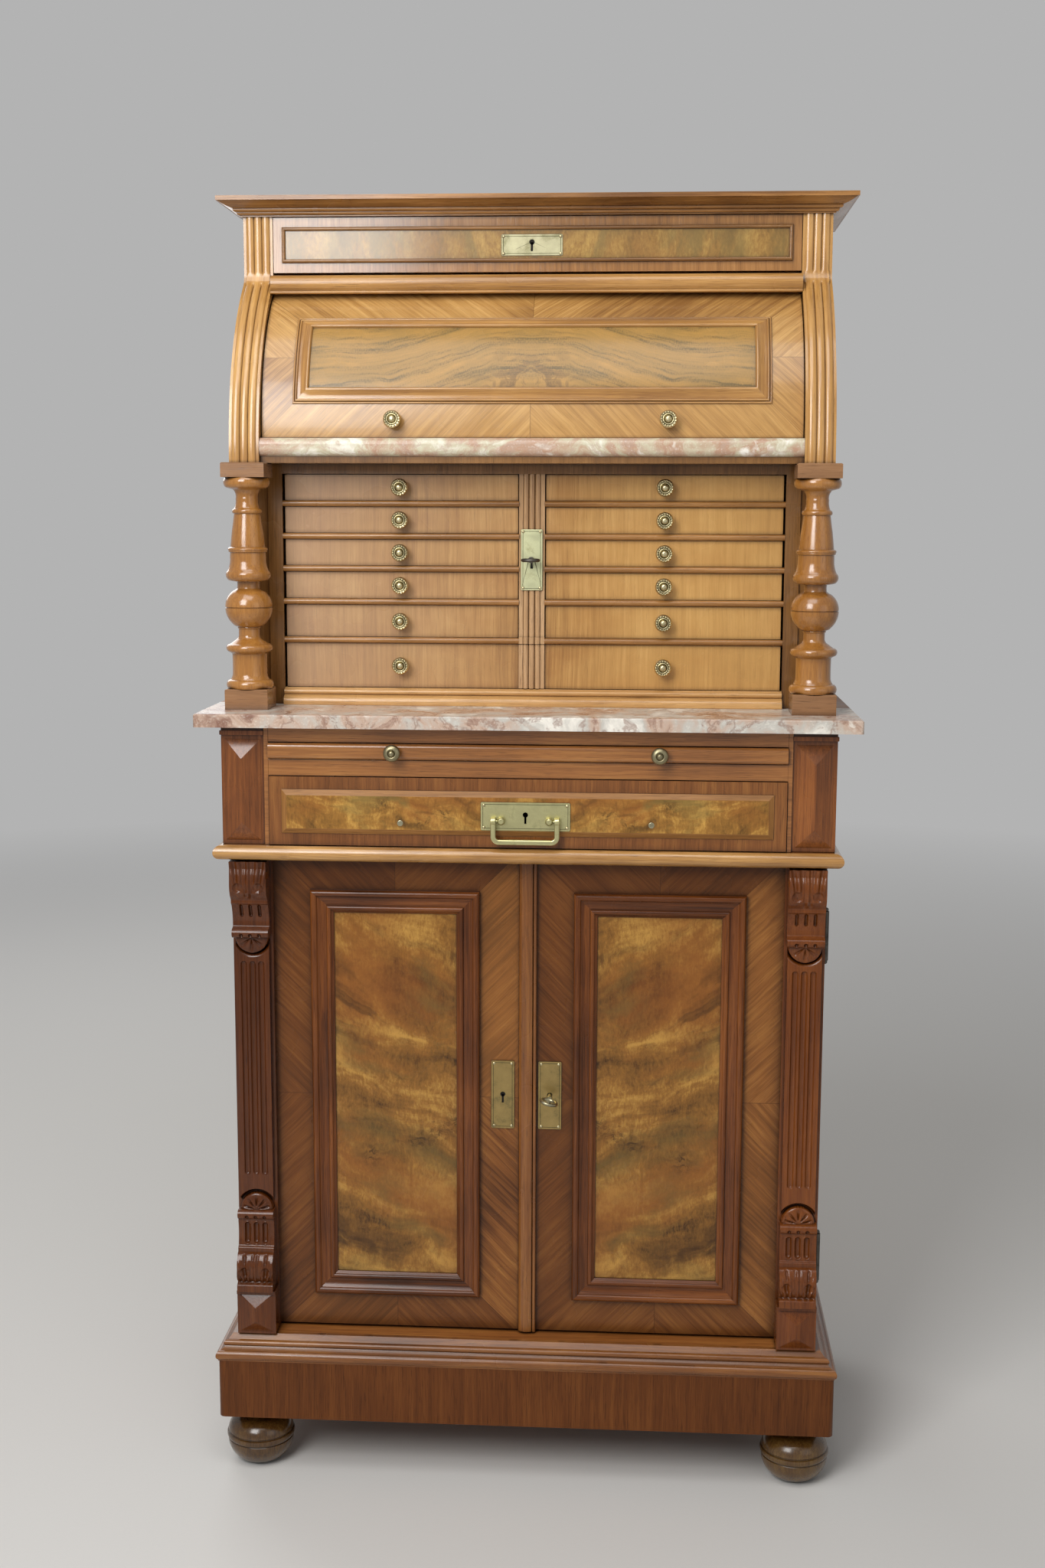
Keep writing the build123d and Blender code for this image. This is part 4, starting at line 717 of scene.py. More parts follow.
def piece(name, points, faces, body, finish, slot, replaces=(), uv=None, smooth=35.0, face_finish=None, weld=1e-7):
    """Mesh object at the origin from points in millimetres, riding on a body. Faces are an array, or a list where
    they have three or four corners."""
    mesh = bpy.data.meshes.new(name)
    mesh.from_pydata((np.asarray(points) * MM).tolist(), [], faces if isinstance(faces, list) else faces.tolist())
    if uv is not None:
        layer = mesh.uv_layers.new(name="Run")
        loops = np.zeros(len(mesh.loops), np.int32)
        mesh.loops.foreach_get("vertex_index", loops)
        layer.data.foreach_set("uv", (np.asarray(uv)[loops] * MM).astype(np.float32).ravel())
    for key in [finish] if isinstance(finish, str) else finish:
        mesh.materials.append(finishes()[key])
    if face_finish is not None:
        mesh.polygons.foreach_set("material_index", np.asarray(face_finish, np.int32))
    mesh.validate()
    if weld:
        bm = bmesh.new()
        bm.from_mesh(mesh)
        bmesh.ops.remove_doubles(bm, verts=bm.verts, dist=weld)
        bmesh.ops.dissolve_degenerate(bm, edges=bm.edges, dist=1e-8)
        bmesh.ops.recalc_face_normals(bm, faces=bm.faces)
        bm.to_mesh(mesh)
        bm.free()
    mesh.polygons.foreach_set("use_smooth", np.ones(len(mesh.polygons), bool))
    mesh.set_sharp_from_angle(angle=math.radians(smooth))
    mesh.update()
    obj = bpy.data.objects.new(name, mesh)
    bpy.context.scene.collection.objects.link(obj)
    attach(obj, body)
    if replaces:
        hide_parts(*replaces)
    return obj


def soften(obj, width=None):
    """Rounds the sharp edges of a board a little."""
    weld = obj.modifiers.new("Weld", "WELD")
    weld.merge_threshold = 1e-6
    bevel = obj.modifiers.new("Edge", "BEVEL")
    bevel.width = width or sizes().edge
    bevel.segments = 2
    bevel.limit_method = "ANGLE"
    bevel.angle_limit = math.radians(40)
    bevel.miter_outer = "MITER_ARC"
    bevel.use_clamp_overlap = True
    bevel.harden_normals = True
    return obj


def turned(profile, centre, axis="z", steps=None):
    """Surface of revolution: each (radius, height) of the profile swept round the centre line."""
    profile = np.asarray(profile, float)
    steps = steps or sizes().turning
    t = np.linspace(0, 2 * np.pi, steps, endpoint=False)
    r, h = profile[:, :1], profile[:, 1:]
    a, b, c = r * np.cos(t), r * np.sin(t), np.repeat(h, steps, 1)
    p = np.stack({"z": (a, b, c), "x": (c, a, b), "y": (a, -c, b)}[axis], -1) + np.asarray(centre, float)
    return p.reshape(-1, 3), quads(len(profile), steps, wrap_cols=True)


def ball(centre, r, steps=10):
    """Small bead: a half circle turned about Y."""
    a = np.linspace(0, np.pi, steps // 2 + 1)
    return turned(np.stack([r * np.sin(a), -r * np.cos(a)], 1), centre, "y", steps)


def slab(x0, x1, y0, y1, z0, z1):
    """Box: its eight corners as a grid of 2 by 2 by 2."""
    p = np.stack(np.meshgrid([x0, x1], [y0, y1], [z0, z1], indexing="ij"), -1).reshape(-1, 3)
    f = [[0, 1, 3, 2], [4, 6, 7, 5], [0, 4, 5, 1], [2, 3, 7, 6], [0, 2, 6, 4], [1, 5, 7, 3]]
    return p, f


def bar(outline, ends, mid, axis="x"):
    """Closed bar: the outline's points at both ends of its axis, each end closed by a fan about mid."""
    rim = np.asarray(outline, float)
    hub = np.repeat([mid], len(rim), 0)
    rows = []
    for at, ring in zip((ends[0], ends[0], ends[1], ends[1]), (hub, rim, rim, hub)):
        along = np.full((len(rim), 1), at)
        rows.append(np.hstack([along, ring] if axis == "x" else [ring, along]))
    return np.concatenate(rows), quads(4, len(rim), wrap_cols=True)


def node_triangles(node):
    """Corner points, in millimetres, of every triangle of a frame node."""
    mesh = NODES[node].data
    mesh.calc_loop_triangles()
    co = np.zeros(len(mesh.vertices) * 3, np.float32)
    mesh.vertices.foreach_get("co", co)
    tri = np.zeros(len(mesh.loop_triangles) * 3, np.int32)
    mesh.loop_triangles.foreach_get("vertices", tri)
    return co.reshape(-1, 3)[tri].reshape(-1, 3, 3).astype(float) / MM


def node_copy(node, triangles, finish, slot, pick=None):
    """Copy of part of a node, its finish chosen for each triangle, standing for the node."""
    faces = np.arange(len(triangles) * 3).reshape(-1, 3)
    return piece(node + ".dressed", triangles.reshape(-1, 3), faces, BODY_OF[node], finish, slot, (node,),
                 face_finish=pick, smooth=30, weld=2e-6)


def unit(t):
    return np.clip(t, 0, 1)


def bell(t, w):
    """exp(-(t / w)^2)."""
    return np.exp(-(t / w) ** 2)


def inside_knob(tri, x, z, r=12.0):
    """True for triangles that lie wholly within r of a knob's axis."""
    return (np.hypot(tri[..., 0] - x, tri[..., 2] - z) < r).all(1)


class CabinetStage(bpy.types.Operator):
    """Camera, soft light from the upper left and above, pale world and floor"""
    bl_idname = "cabinet.stage"
    bl_label = "Stage"

    # Camera: yaw, pitch and roll in degrees, place in metres, lens in millimetres
    TURN = (-3.665, -8.462, -0.180)
    PLACE = (0.1371, -2.4015, 1.2247)
    LENS = 42.41
    # Grey of the sky, its strength for light and for the rays that see it; half the floor's side in metres
    SKY, DIM, LIT = 0.82, 0.26, 0.55
    FLOOR = 14.0

    def camera(self, scene):
        """Camera from its place and its turn, right = (cos yaw, -sin yaw, 0), down = forward x right, rolled."""
        yaw, pitch, roll = (math.radians(a) for a in self.TURN)
        fwd = np.array([math.sin(yaw) * math.cos(pitch), math.cos(yaw) * math.cos(pitch), math.sin(pitch)])
        right = np.array([math.cos(yaw), -math.sin(yaw), 0.0])
        down = np.cross(fwd, right)
        right, down = (math.cos(roll) * right + math.sin(roll) * down, -math.sin(roll) * right + math.cos(roll) * down)
        data = bpy.data.cameras.new("Camera")
        data.sensor_fit = "VERTICAL"
        data.sensor_height = 36.0
        data.lens = self.LENS
        data.clip_end = 100.0
        obj = bpy.data.objects.new("Camera", data)
        turn = np.eye(4)
        turn[:3, 0], turn[:3, 1], turn[:3, 2], turn[:3, 3] = right, -down, -fwd, self.PLACE
        obj.matrix_world = Matrix(turn.tolist())
        scene.collection.objects.link(obj)
        scene.camera = obj

    def lamp(self, scene, name, at, aim, w, h, power):
        data = bpy.data.lights.new(name, "AREA")
        data.shape = "RECTANGLE"
        data.size, data.size_y, data.energy = w, h, power
        obj = bpy.data.objects.new(name, data)
        obj.location = at
        obj.rotation_euler = (Vector(aim) - Vector(at)).to_track_quat("-Z", "Y").to_euler()
        obj.visible_camera = False
        scene.collection.objects.link(obj)

    def execute(self, context):
        scene = context.scene
        scene.view_settings.view_transform = "Standard"
        self.camera(scene)
        for lamp in (("Window light", (-1.0, -2.4, 2.3), (0.0, -0.1, 1.1), 1.2, 1.5, 54.0),
                     ("Overhead light", (-0.2, -1.3, 3.0), (0.0, 0.0, 1.2), 1.6, 1.1, 19.0),
                     ("Fill light", (2.4, -2.6, 1.7), (0.0, -0.1, 0.8), 2.0, 2.0, 6.0),
                     ("Back light", (-1.6, 2.6, 2.4), (0.0, 0.1, 0.9), 2.0, 2.0, 26.0)):
            self.lamp(scene, *lamp)
        scene.world = bpy.data.worlds.new("Studio")
        net = Net(scene.world)
        sky = net.tree.nodes["Background"].inputs
        sky[0].default_value = (self.SKY, self.SKY, self.SKY, 1.0)
        path = net.tree.nodes.new("ShaderNodeLightPath").outputs
        seen = net.math("MAXIMUM", path["Is Camera Ray"], path["Is Transmission Ray"])
        seen = net.math("MAXIMUM", seen, path["Is Glossy Ray"])
        net.put(sky[1], net.span(seen, 0.0, 1.0, self.DIM, self.LIT))
        corners = [(x * self.FLOOR, y * self.FLOOR, 0.0) for x, y in ((-1, -1), (1, -1), (1, 1), (-1, 1))]
        mesh = bpy.data.meshes.new("Floor")
        mesh.from_pydata(corners, [], [[0, 1, 2, 3]])
        net = Paint("Studio floor")
        at = net.at()
        far = net.span(net.node("VectorMath", out=1, ins={0: at}, operation="LENGTH"), 1.6, 5.0)
        grainy = net.noise(at, 240.0, 3.0)
        pale = colours().floor
        net.cover(net.mix(net.span(grainy, 0.3, 0.7, 0.0, 0.06), pale, shade(pale, 0.8)), 0.7)
        grey = self.SKY * self.LIT
        glow = net.node("Emission", ins={"Color": (grey, grey, grey), "Strength": 1.0})
        both = net.node("MixShader", ins={0: far, 1: net.bsdf.outputs[0], 2: glow})
        net.put(net.out.inputs[0], both)
        mesh.materials.append(net.mat)
        floor = bpy.data.objects.new("Floor", mesh)
        scene.collection.objects.link(floor)
        return {"FINISHED"}


# Frame nodes that keep their own shape, with their finish and the width by which their edges are softened
PLAIN = {
    "plinth_box": ("plinth", 1.2), "plinth_moulding": ("plinth_run", 0), "lower_case": ("case", 0.8),
    "back_panels": ("pine_z", 0), "cupboard_shelf": ("pine_x", 0), "waist_moulding": ("waist", 0),
    "frieze_corner_blocks": ("russet_z", 0.8), "frieze_rails": ("slide", 0.7), "marble_top": ("marble", 1.2),
    "top_board": ("brown_x", 0.8), "bank_case": ("dusk_z", 0),
    "bank_base_rail": ("base_rail", 0), "column_blocks": ("block", 0), "upper_marble_shelf": ("shelf_marble", 0),
    "upper_case": ("honey_z", 0.8), "cornice": ("crown", 0),
    "case_hinges": ("iron", 0), "bank_pilaster": ("rib", 0), "bank_lock_plate": ("lock_brass", 0.35),
    "right_door_frame": ("right_band", 0), "right_door_panel": ("door_burl", 0),
    "right_door_moulding": ("right_mould", 0), "right_door_astragal": ("brown_z", 0),
    "left_door_frame": ("left_band", 0), "left_door_panel": ("door_burl", 0),
    "left_door_moulding": ("left_mould", 0), "drawer_handle_plate": ("brass", 0.35),
    "writing_slide": ("slide", 0), "roll_front": ("roll_band", 0),
    "roll_front_field": ("roll_field", 0), "frieze_drawer_lock_plate": ("frieze_brass", 0.35),
    "door_key": ("nickel", 0), "bank_key": ("iron", 0),
}


class CabinetBoards(bpy.types.Operator):
    """Finish the boards and mouldings that keep the frame's own shape"""
    bl_idname = "cabinet.boards"
    bl_label = "Boards and Mouldings"

    def execute(self, context):
        for node, (finish, edge) in PLAIN.items():
            obj = NODES[node]
            for slot in obj.material_slots:
                slot.material = finishes()[finish]
            if edge:
                soften(obj, edge * MM)
        return {"FINISHED"}


class CabinetFeet(bpy.types.Operator):
    """Turn the bun feet: flattened balls with a band between two grooves round the widest line"""
    bl_idname = "cabinet.feet"
    bl_label = "Bun Feet"

    def execute(self, context):
        items = [(0, 0), (16, 0), (28, 4.4, 1), (36, 12.5), (40.6, 21, 1), (42.2, 30.6), (41.2, 31.6), (41.2, 32.5),
                 (43, 33.4), (43.6, 36.4, 1), (43, 39.4), (41.2, 40.3), (41.2, 41.2), (42, 42.2), (39.5, 50, 1),
                 (33.5, 57), (29, 60, 1), (24.5, 61.4), (22, 63), (20.8, 66, 1), (20.4, 70), (20, 76), (0, 76)]
        prof = arcs(items, 12)
        parts = [turned(prof, (s * FOOT_X, y, 0.0)) for s in (-1, 1) for y in FOOT_Y]
        piece("bun_feet.turned", *gather(parts), CABINET, "bun", "walnut", ("bun_feet",))
        return {"FINISHED"}


class CabinetColumns(bpy.types.Operator):
    """Turn the two columns: torus, drum, ball with a scored middle, vase with thin rings"""
    bl_idname = "cabinet.columns"
    bl_label = "Turned Columns"

    def execute(self, context):
        items = [(0, 0), (27.5, 0), (29, 5, 1), (26.5, 10), (24, 10.8), (22, 14.5), (21.4, 17), (21.2, 30, 1),
                 (21.4, 42.5), (23.5, 44.1), (25.5, 45), (28.6, 49.7, 1), (24, 54.5), (22.6, 55.4), (15.5, 60.5),
                 (13.4, 63.5, 1), (13, 65.5), (13, 73.2), (14.2, 74.2, 1), (14, 75.4), (18.6, 77.4), (20, 79),
                 (26.6, 88, 1), (28.9, 98.7), (28.1, 99.2), (28.1, 99.8), (28.9, 100.3), (26.4, 111, 1), (19, 119.5),
                 (16.6, 120.6), (14, 122.5), (13.7, 126, 1), (14, 130.5), (20, 131.4), (24, 132.5), (27.4, 137.7, 1),
                 (25, 144.5), (22.8, 151, 1), (22.0, 160), (21.8, 166.4), (23.6, 167.6, 1), (23.6, 168.6),
                 (24.3, 170.3, 1), (23.2, 172), (21.2, 173), (20.2, 183, 1), (19, 193.5), (17.4, 204, 1), (16.2, 213),
                 (17.6, 213.8), (18.4, 216.2, 1), (17.4, 218.6), (15.6, 219.6), (14.2, 224, 1), (13.8, 231),
                 (14.4, 238.5, 1), (17, 242.5), (21.5, 243.6), (26, 245.1), (28.4, 251, 1), (26, 257), (0, 257)]
        prof = arcs(items, 10)
        parts = [turned(prof, (s * COLUMN_AT[0], COLUMN_AT[1], COLUMN_Z)) for s in (-1, 1)]
        piece("columns.turned", *gather(parts), CABINET, "turned", "walnut", ("columns",), smooth=40)
        return {"FINISHED"}


class CabinetPosts(bpy.types.Operator):
    """Carry the reeded section down the posts: straight, hollow sweep, long swell"""
    bl_idname = "cabinet.posts"
    bl_label = "Reeded Posts"

    def path(self):
        """Front line of a post from the top down as (y, z), its outward normal, its run and its back edge:
        a straight, an arc about a centre in front, then an arc about a centre behind."""
        zc, r = POST_HOLLOW[1], POST_HOLLOW[2]
        n = (24, 24, 120)
        z = np.linspace(POST_TOP, zc, n[0])
        a = np.radians(np.linspace(0, POST_SWEEP, n[1] + 1)[1:])
        b = np.radians(np.linspace(POST_SWEEP, POST_FOOT, n[2] + 1)[1:])
        line = np.stack([np.full(n[0], POST_FACE), z], 1)
        hollow = np.stack([POST_HOLLOW[0] + r * np.cos(a), zc - r * np.sin(a)], 1)
        swell = np.stack([POST_SWELL[0] - POST_SWELL[2] * np.cos(b), POST_SWELL[1] + POST_SWELL[2] * np.sin(b)], 1)
        out = [np.tile([-1.0, 0.0], (n[0], 1))] + [np.stack([-np.cos(t), np.sin(t)], 1) for t in (a, b)]
        at, out = np.concatenate([line, hollow, swell]), np.concatenate(out)
        run = np.concatenate([[0], np.cumsum(np.hypot(*np.diff(at, axis=0).T))])
        back = at - out * POST_DEEP
        back[:n[0] + n[1], 0] = POST_SEAT
        return at, out, run, back, run[n[0] - 1] + 0.5 * math.radians(POST_SWEEP) * r

    def execute(self, context):
        at, out, run, back, turn = self.path()
        w = POST_X[1] - POST_X[0]
        fillet = 3.5
        reed = (w - 2 * fillet) / 3
        deep = sizes().reed / MM
        u = np.linspace(0, 1, 15)
        reeds = [fillet + reed * (i + u) for i in range(3)]
        across = np.concatenate([[0, fillet - 0.2]] + reeds + [[w - fillet + 0.2, w]])
        shape = np.concatenate([[1, 1]] + [1 - np.sqrt(np.maximum(0, 1 - 0.985 * (2 * u - 1) ** 2))] * 3 + [[1, 1]])
        rim = (across < fillet - 0.1) | (across > w - fillet + 0.1)
        plain = unit(1.6 - np.abs(run - turn) / 7.0)
        plain = plain * plain * (3 - 2 * plain)
        h = -deep * shape[None, :] * np.where(rim[None, :], 1.0, 1 - plain[:, None])
        face = at[:, None, :] + out[:, None, :] * h[..., None]
        rows = len(run)
        ring = np.concatenate([back[:, None, :], face, back[:, None, :]], 1)
        xs = np.concatenate([[0], across, [w]])
        girth = np.concatenate([[-POST_DEEP], across, [w + POST_DEEP]])
        fan = np.arange(1, len(xs) - 1)
        cap = np.stack([0 * fan, fan, fan + 1, fan + 1], 1)
        parts, uvs = [], []
        for s in (-1, 1):
            x = s * (POST_X[0] + xs)
            p = np.concatenate([np.broadcast_to(x[None, :, None], (rows, len(xs), 1)), ring], -1)
            f = quads(rows, len(xs), wrap_cols=True)
            parts.append((p, f if s > 0 else f[:, ::-1]))
            uvs.append(np.stack(np.broadcast_arrays(girth[None, :] + 80 * s, run[:, None]), -1).reshape(-1, 2))
            for k in (0, rows - 1):
                parts.append((p[k], cap))
                uvs.append(np.stack([girth, np.full(len(xs), run[k])], 1))
        points, faces = gather(parts)
        faces = [list(dict.fromkeys(q)) for q in faces.tolist()]
        piece("curved_posts.reeded", points, faces, CABINET, "honey_uv", "walnut", ("curved_posts",),
              uv=np.concatenate(uvs), smooth=40, weld=1e-6)
        return {"FINISHED"}


class CabinetPilasters(bpy.types.Operator):
    """Carve the door pilasters: corbel with leaf, fluted shaft, palmette, leaf foot, hipped block"""
    bl_idname = "cabinet.pilasters"
    bl_label = "Carved Pilasters"

    # Up the pilaster: its start, the top of its block, the centres of the two half discs and its top; disc radius
    START, BLOCK, LOW, TOP, END = -1.6, 56.0, 160.0, 513.0, 611.0
    DISC = 20.5
    FLUTES = (13.8, 25.0, 36.2)

    def relief(self, u, v):
        """Height out from the door face at u across (0 to 50) and v up (0 to 611). Each length of the
        pilaster is an outline along v, cut into by flutes, drilled dots, leaf folds and sunk half rounds."""
        base = 11.0
        mid = 25.0
        a = np.abs(u - mid)
        flute, leaf = sizes().flute / MM, sizes().leaf / MM
        h = np.full(u.shape, base)

        def along(items):
            prof = arcs([(p[1], -p[0]) + tuple(p[2:]) for p in items], 14)
            return base + np.interp(v, prof[:, 0], prof[:, 1])

        def slot(x, z0, z1, r, d):
            """Round-ended flute of half width r."""
            z = np.clip(v, z0, z1)
            return d * np.sqrt(unit(1 - ((u - x) ** 2 + (v - z) ** 2) / (r * r)))

        def well(x, z, r, d):
            """Round-bottomed hole."""
            return slot(x, z, z, r, d)

        def dome(r):
            return base + 8.5 + 4.5 * np.sqrt(unit(1 - (r / self.DISC) ** 2))

        # fluted shaft with a sunk half round at both ends
        shaft = (a <= 21.0) & (v >= 166) & (v <= 512)
        low = np.hypot(u - mid, v - self.LOW)
        top = np.hypot(u - mid, v - self.TOP)
        dish = unit((low - 22.5) / 3.0)
        scoop = unit((top - 21.5) / 6.0)
        scoop = np.sqrt(unit(1 - (1 - scoop) ** 2))
        body = base + 8.0 * np.where(v < 340, dish, scoop)
        cut = sum(slot(x, 208.0, 478.0, 3.7, flute) for x in (14.0, 25.0, 36.0))
        h = np.where(shaft, body - cut, h)
        # half discs: palmette below, leaf above
        disc = (low <= self.DISC) & (v >= self.LOW)
        t = np.degrees(np.arctan2(v - self.LOW, u - mid))
        rays = sum(bell(t - ang, wid) * np.sin(unit((low - 3.5) / 14.0) * np.pi) ** 0.6
                   for ang, wid in ((90, 7.5), (48, 6.5), (132, 6.5), (12, 6.0), (168, 6.0)))
        h = np.where(disc, dome(low) - 2.6 * rays, h)
        disc = (top <= self.DISC) & (v <= self.TOP)
        t = np.degrees(np.arctan2(self.TOP - v, u - mid))
        rays = sum(bell(t - ang, 9.0) * unit(top / 6.0) * unit((20 - top) / 5) for ang in (90, 40, 140))
        h = np.where(disc, dome(top) - 2.2 * rays, h)
        # carved foot
        foot = (u >= 2.5) & (u <= 48) & (v >= self.BLOCK) & (v <= self.LOW)
        line = along([(0, 55.9), (-29, 56), (-29, 65), (-24, 68), (-29.5, 86, 1), (-22, 104), (-18, 106), (-18, 111),
                      (-15, 113), (-12.5, 128, 1), (-14, 145), (-14, 148), (-19.5, 154, 1), (-14, 160), (0, 160.1)])
        for x in self.FLUTES:
            lip = bell(np.hypot(u - x, v - np.clip(v, 119, 140)) - 4.2, 0.9) * (v > 113) * (v < 145)
            line = line - slot(x, 119.0, 140.0, 3.4, 3.2) + 0.9 * lip - well(x, 151.5, 2.4, 3.0)
        scroll = unit((v - 66) / 4) * unit((105 - v) / 4)
        rib = 1.1 * bell(a, 1.3) - 1.0 * bell(a - 3.2, 1.3)
        fan = np.cos((a - 2.0) * (0.55 + 0.012 * (104 - v))) * unit((a - 3) / 3)
        eyes = well(mid - 13.5, 82.0, 6.2, 1.0) + well(mid + 13.5, 82.0, 6.2, 1.0)
        lobes = 0.45 * leaf * fan * unit((100 - v) / 16) - leaf * 1.2 * eyes
        shoulder = -leaf * 0.9 * bell(a - 12 - 0.10 * (v - 84), 1.6) * unit((v - 84) / 10)
        line = line + scroll * (rib + lobes + shoulder)
        h = np.where(foot, line, h)
        # hipped block under it
        block = (u >= 0.5) & (u <= 49.5) & (v <= self.BLOCK)
        slope = np.minimum(np.minimum((u - 3) / 22, (47 - u) / 22), np.minimum((v - 1) / 17, (51 - v) / 17)) * 8.5
        lip = 3.0 * ((v > 51.5) & (v <= self.BLOCK))
        h = np.where(block, base + 22 + np.maximum(np.clip(slope, 0, 8.5) * (v < 51.5), lip), h)
        # corbel
        corbel = (u >= 2.5) & (u <= 48) & (v >= self.TOP)
        line = along([(0, 512.9), (-14, 513), (-20.5, 519, 1), (-14, 525), (-11, 527), (-12, 542, 1), (-18, 556),
                      (-20, 557), (-20, 562), (-25, 568), (-29.5, 586, 1), (-26, 602), (-26.5, 606, 1), (-27.5, 611)])
        for x in self.FLUTES:
            line = line - slot(x, 541.0, 553.0, 2.0, 3.4) - well(x, 516.8, 2.3, 3.0)
        scroll = unit((v - 563) / 4)
        rib = 1.3 * bell(a, 1.5) - 1.2 * bell(a - 3.6, 1.3)
        folds = np.cos((a - 2.0) * (0.60 + 0.006 * (self.END - v))) * unit((a - 3) / 3)
        tip = well(mid - 12.5, 578.0, 6.5, 1.0) + well(mid + 12.5, 578.0, 6.5, 1.0)
        curl = 1.6 * bell(v - 571 - 0.03 * (a - 6) ** 2, 2.2) * (a < 14)
        line = line + scroll * (rib + 0.55 * leaf * folds * unit((v - 574) / 14) - leaf * tip + curl * 0.6)
        return np.where(corbel, line, h)

    def execute(self, context):
        # grid lines across and up, doubled where the relief steps
        eps = 0.03
        steps = [0.5, 2.5, 4.0, 46.0, 48.0, 49.5]
        us = np.unique(np.concatenate([np.linspace(0, 50, 85)] + [[s - eps, s + eps] for s in steps]))
        rows = [np.linspace(*r) for r in ((self.START, self.BLOCK, 58), (self.BLOCK, 166, 170), (166, 214, 74),
                                          (214, 472, 14), (472, self.END, 216))]
        rows += [[s - eps, s + eps] for s in (51.5, self.BLOCK, self.LOW, 166.0, 512.0, self.TOP)]
        vs = np.unique(np.concatenate(rows))
        vs = vs[(vs >= self.START) & (vs <= self.END)]
        u, v = np.meshgrid(us, vs)
        h = self.relief(u, v)
        rows, cols = h.shape
        for side, s in SIDES:
            x = s * (PILASTER_X + u)
            front = np.stack([x, DOOR_FACE - h, DOOR_Z[0] + v], -1)
            rim = np.concatenate([np.arange(cols), np.arange(1, rows) * cols + cols - 1,
                                  (rows - 1) * cols + np.arange(cols - 2, -1, -1), np.arange(rows - 2, 0, -1) * cols])
            edge = front.reshape(-1, 3)[rim]
            back = edge.copy()
            back[:, 1] = DOOR_FACE
            wall = quads(2, len(rim), wrap_cols=True)
            points, faces = gather([(front, quads(rows, cols)), (np.concatenate([edge, back]), wall),
                                    slab_back(x, (DOOR_Z[0] + self.START, DOOR_Z[1]))])
            piece(side + "_door_pilaster.carved", points, faces, side + "_door", side + "_carved", "dark_walnut",
                  (side + "_door_pilaster",), smooth=48, weld=1e-6)
        return {"FINISHED"}


def slab_back(x, z):
    """Flat back of a carved piece."""
    x0, x1 = float(x.min()), float(x.max())
    p = [[x0, DOOR_FACE, z[0]], [x0, DOOR_FACE, z[1]], [x1, DOOR_FACE, z[1]], [x1, DOOR_FACE, z[0]]]
    return p, [[0, 1, 2, 3]]


class CabinetRollRim(bpy.types.Operator):
    """Carry the moulded rim round the field of the roll front: two thin beads and a broad rise to the field"""
    bl_idname = "cabinet.roll_rim"
    bl_label = "Roll Front Rim"

    def execute(self, context):
        """Each side is the profile swept along it. An offset k across the rim moves the side from the outer
        rectangle to the inner one, so corners mitre."""
        across, rise, drop = 20.0, 5.3, 4.3
        prof = arcs([(0, 0), (0, 1.1), (1.1, 2.1, 1), (2.2, 1.1), (2.6, 0.9), (3.0, 1.5), (4.2, 2.7, 1), (5.4, 1.6),
                     (5.9, 1.2), (6.6, 1.3), (12.0, 2.2, 1), (15.4, 3.9), (17.2, 4.6, 1), (18.9, 3.9), (19.3, 3.0),
                     (20, 1.5), (20, 0)], 6)
        k, h = prof[:, 0] / across, prof[:, 1]
        girth = np.concatenate([[0], np.cumsum(np.hypot(*np.diff(prof, axis=0).T))])
        wide, low, high = ROLL_RIM_HALF[0] - across * k, ROLL_RIM_ARC[0] + rise * k, ROLL_RIM_ARC[1] - drop * k
        t = np.linspace(0, 1, 49)[:, None]
        parts, uvs = [], []
        for i, (x, a) in enumerate([((2 * t - 1) * wide, low + 0 * t), ((2 * t - 1) * wide, high + 0 * t),
                                    (wide + 0 * t, low + (high - low) * t), (-wide + 0 * t, low + (high - low) * t)]):
            rad = np.radians(a)
            p = np.stack([x, ROLL_AXIS[0] - (ROLL_R + h) * np.cos(rad), ROLL_AXIS[1] + (ROLL_R + h) * np.sin(rad)], -1)
            parts.append((p, quads(*x.shape)))
            run = x if i < 2 else rad * ROLL_R
            uvs.append(np.stack([np.broadcast_to(girth + 40 * i, x.shape), run], -1).reshape(-1, 2))
        points, faces = gather(parts)
        piece("roll_front_frame.rim", points, faces, "roll_front", "roll_rim", "dark_walnut", ("roll_front_frame",),
              uv=np.concatenate(uvs), smooth=40)
        return {"FINISHED"}


class CabinetRail(bpy.types.Operator):
    """Run the rail under the frieze drawer: a broad swell, a quirk and a thin bead, with the frame's own back"""
    bl_idname = "cabinet.rail"
    bl_label = "Upper Rail"

    def execute(self, context):
        tri = node_triangles("upper_rail").reshape(-1, 3)
        (x0, _, z0), (x1, back, z1) = tri.min(0), tri.max(0)
        items = arcs([(-26, -22.4), (-31.6, -22.4), (-32.8, -20.8, 1), (-31.6, -19.2), (-30.8, -18.8), (-30.9, -18.2),
                      (-34.4, -10.2, 1), (-28.5, 0), (0, 0), (0, -3.4)], 14)
        drawn = 22.4
        outline = np.column_stack([back + items[:, 0], z1 + items[:, 1] * (z1 - z0) / drawn])
        piece("upper_rail.moulded", *bar(outline, (x0, x1), (back - 20, z1 - 6)), CABINET, "glow_x", "dark_walnut",
              ("upper_rail",))
        return {"FINISHED"}


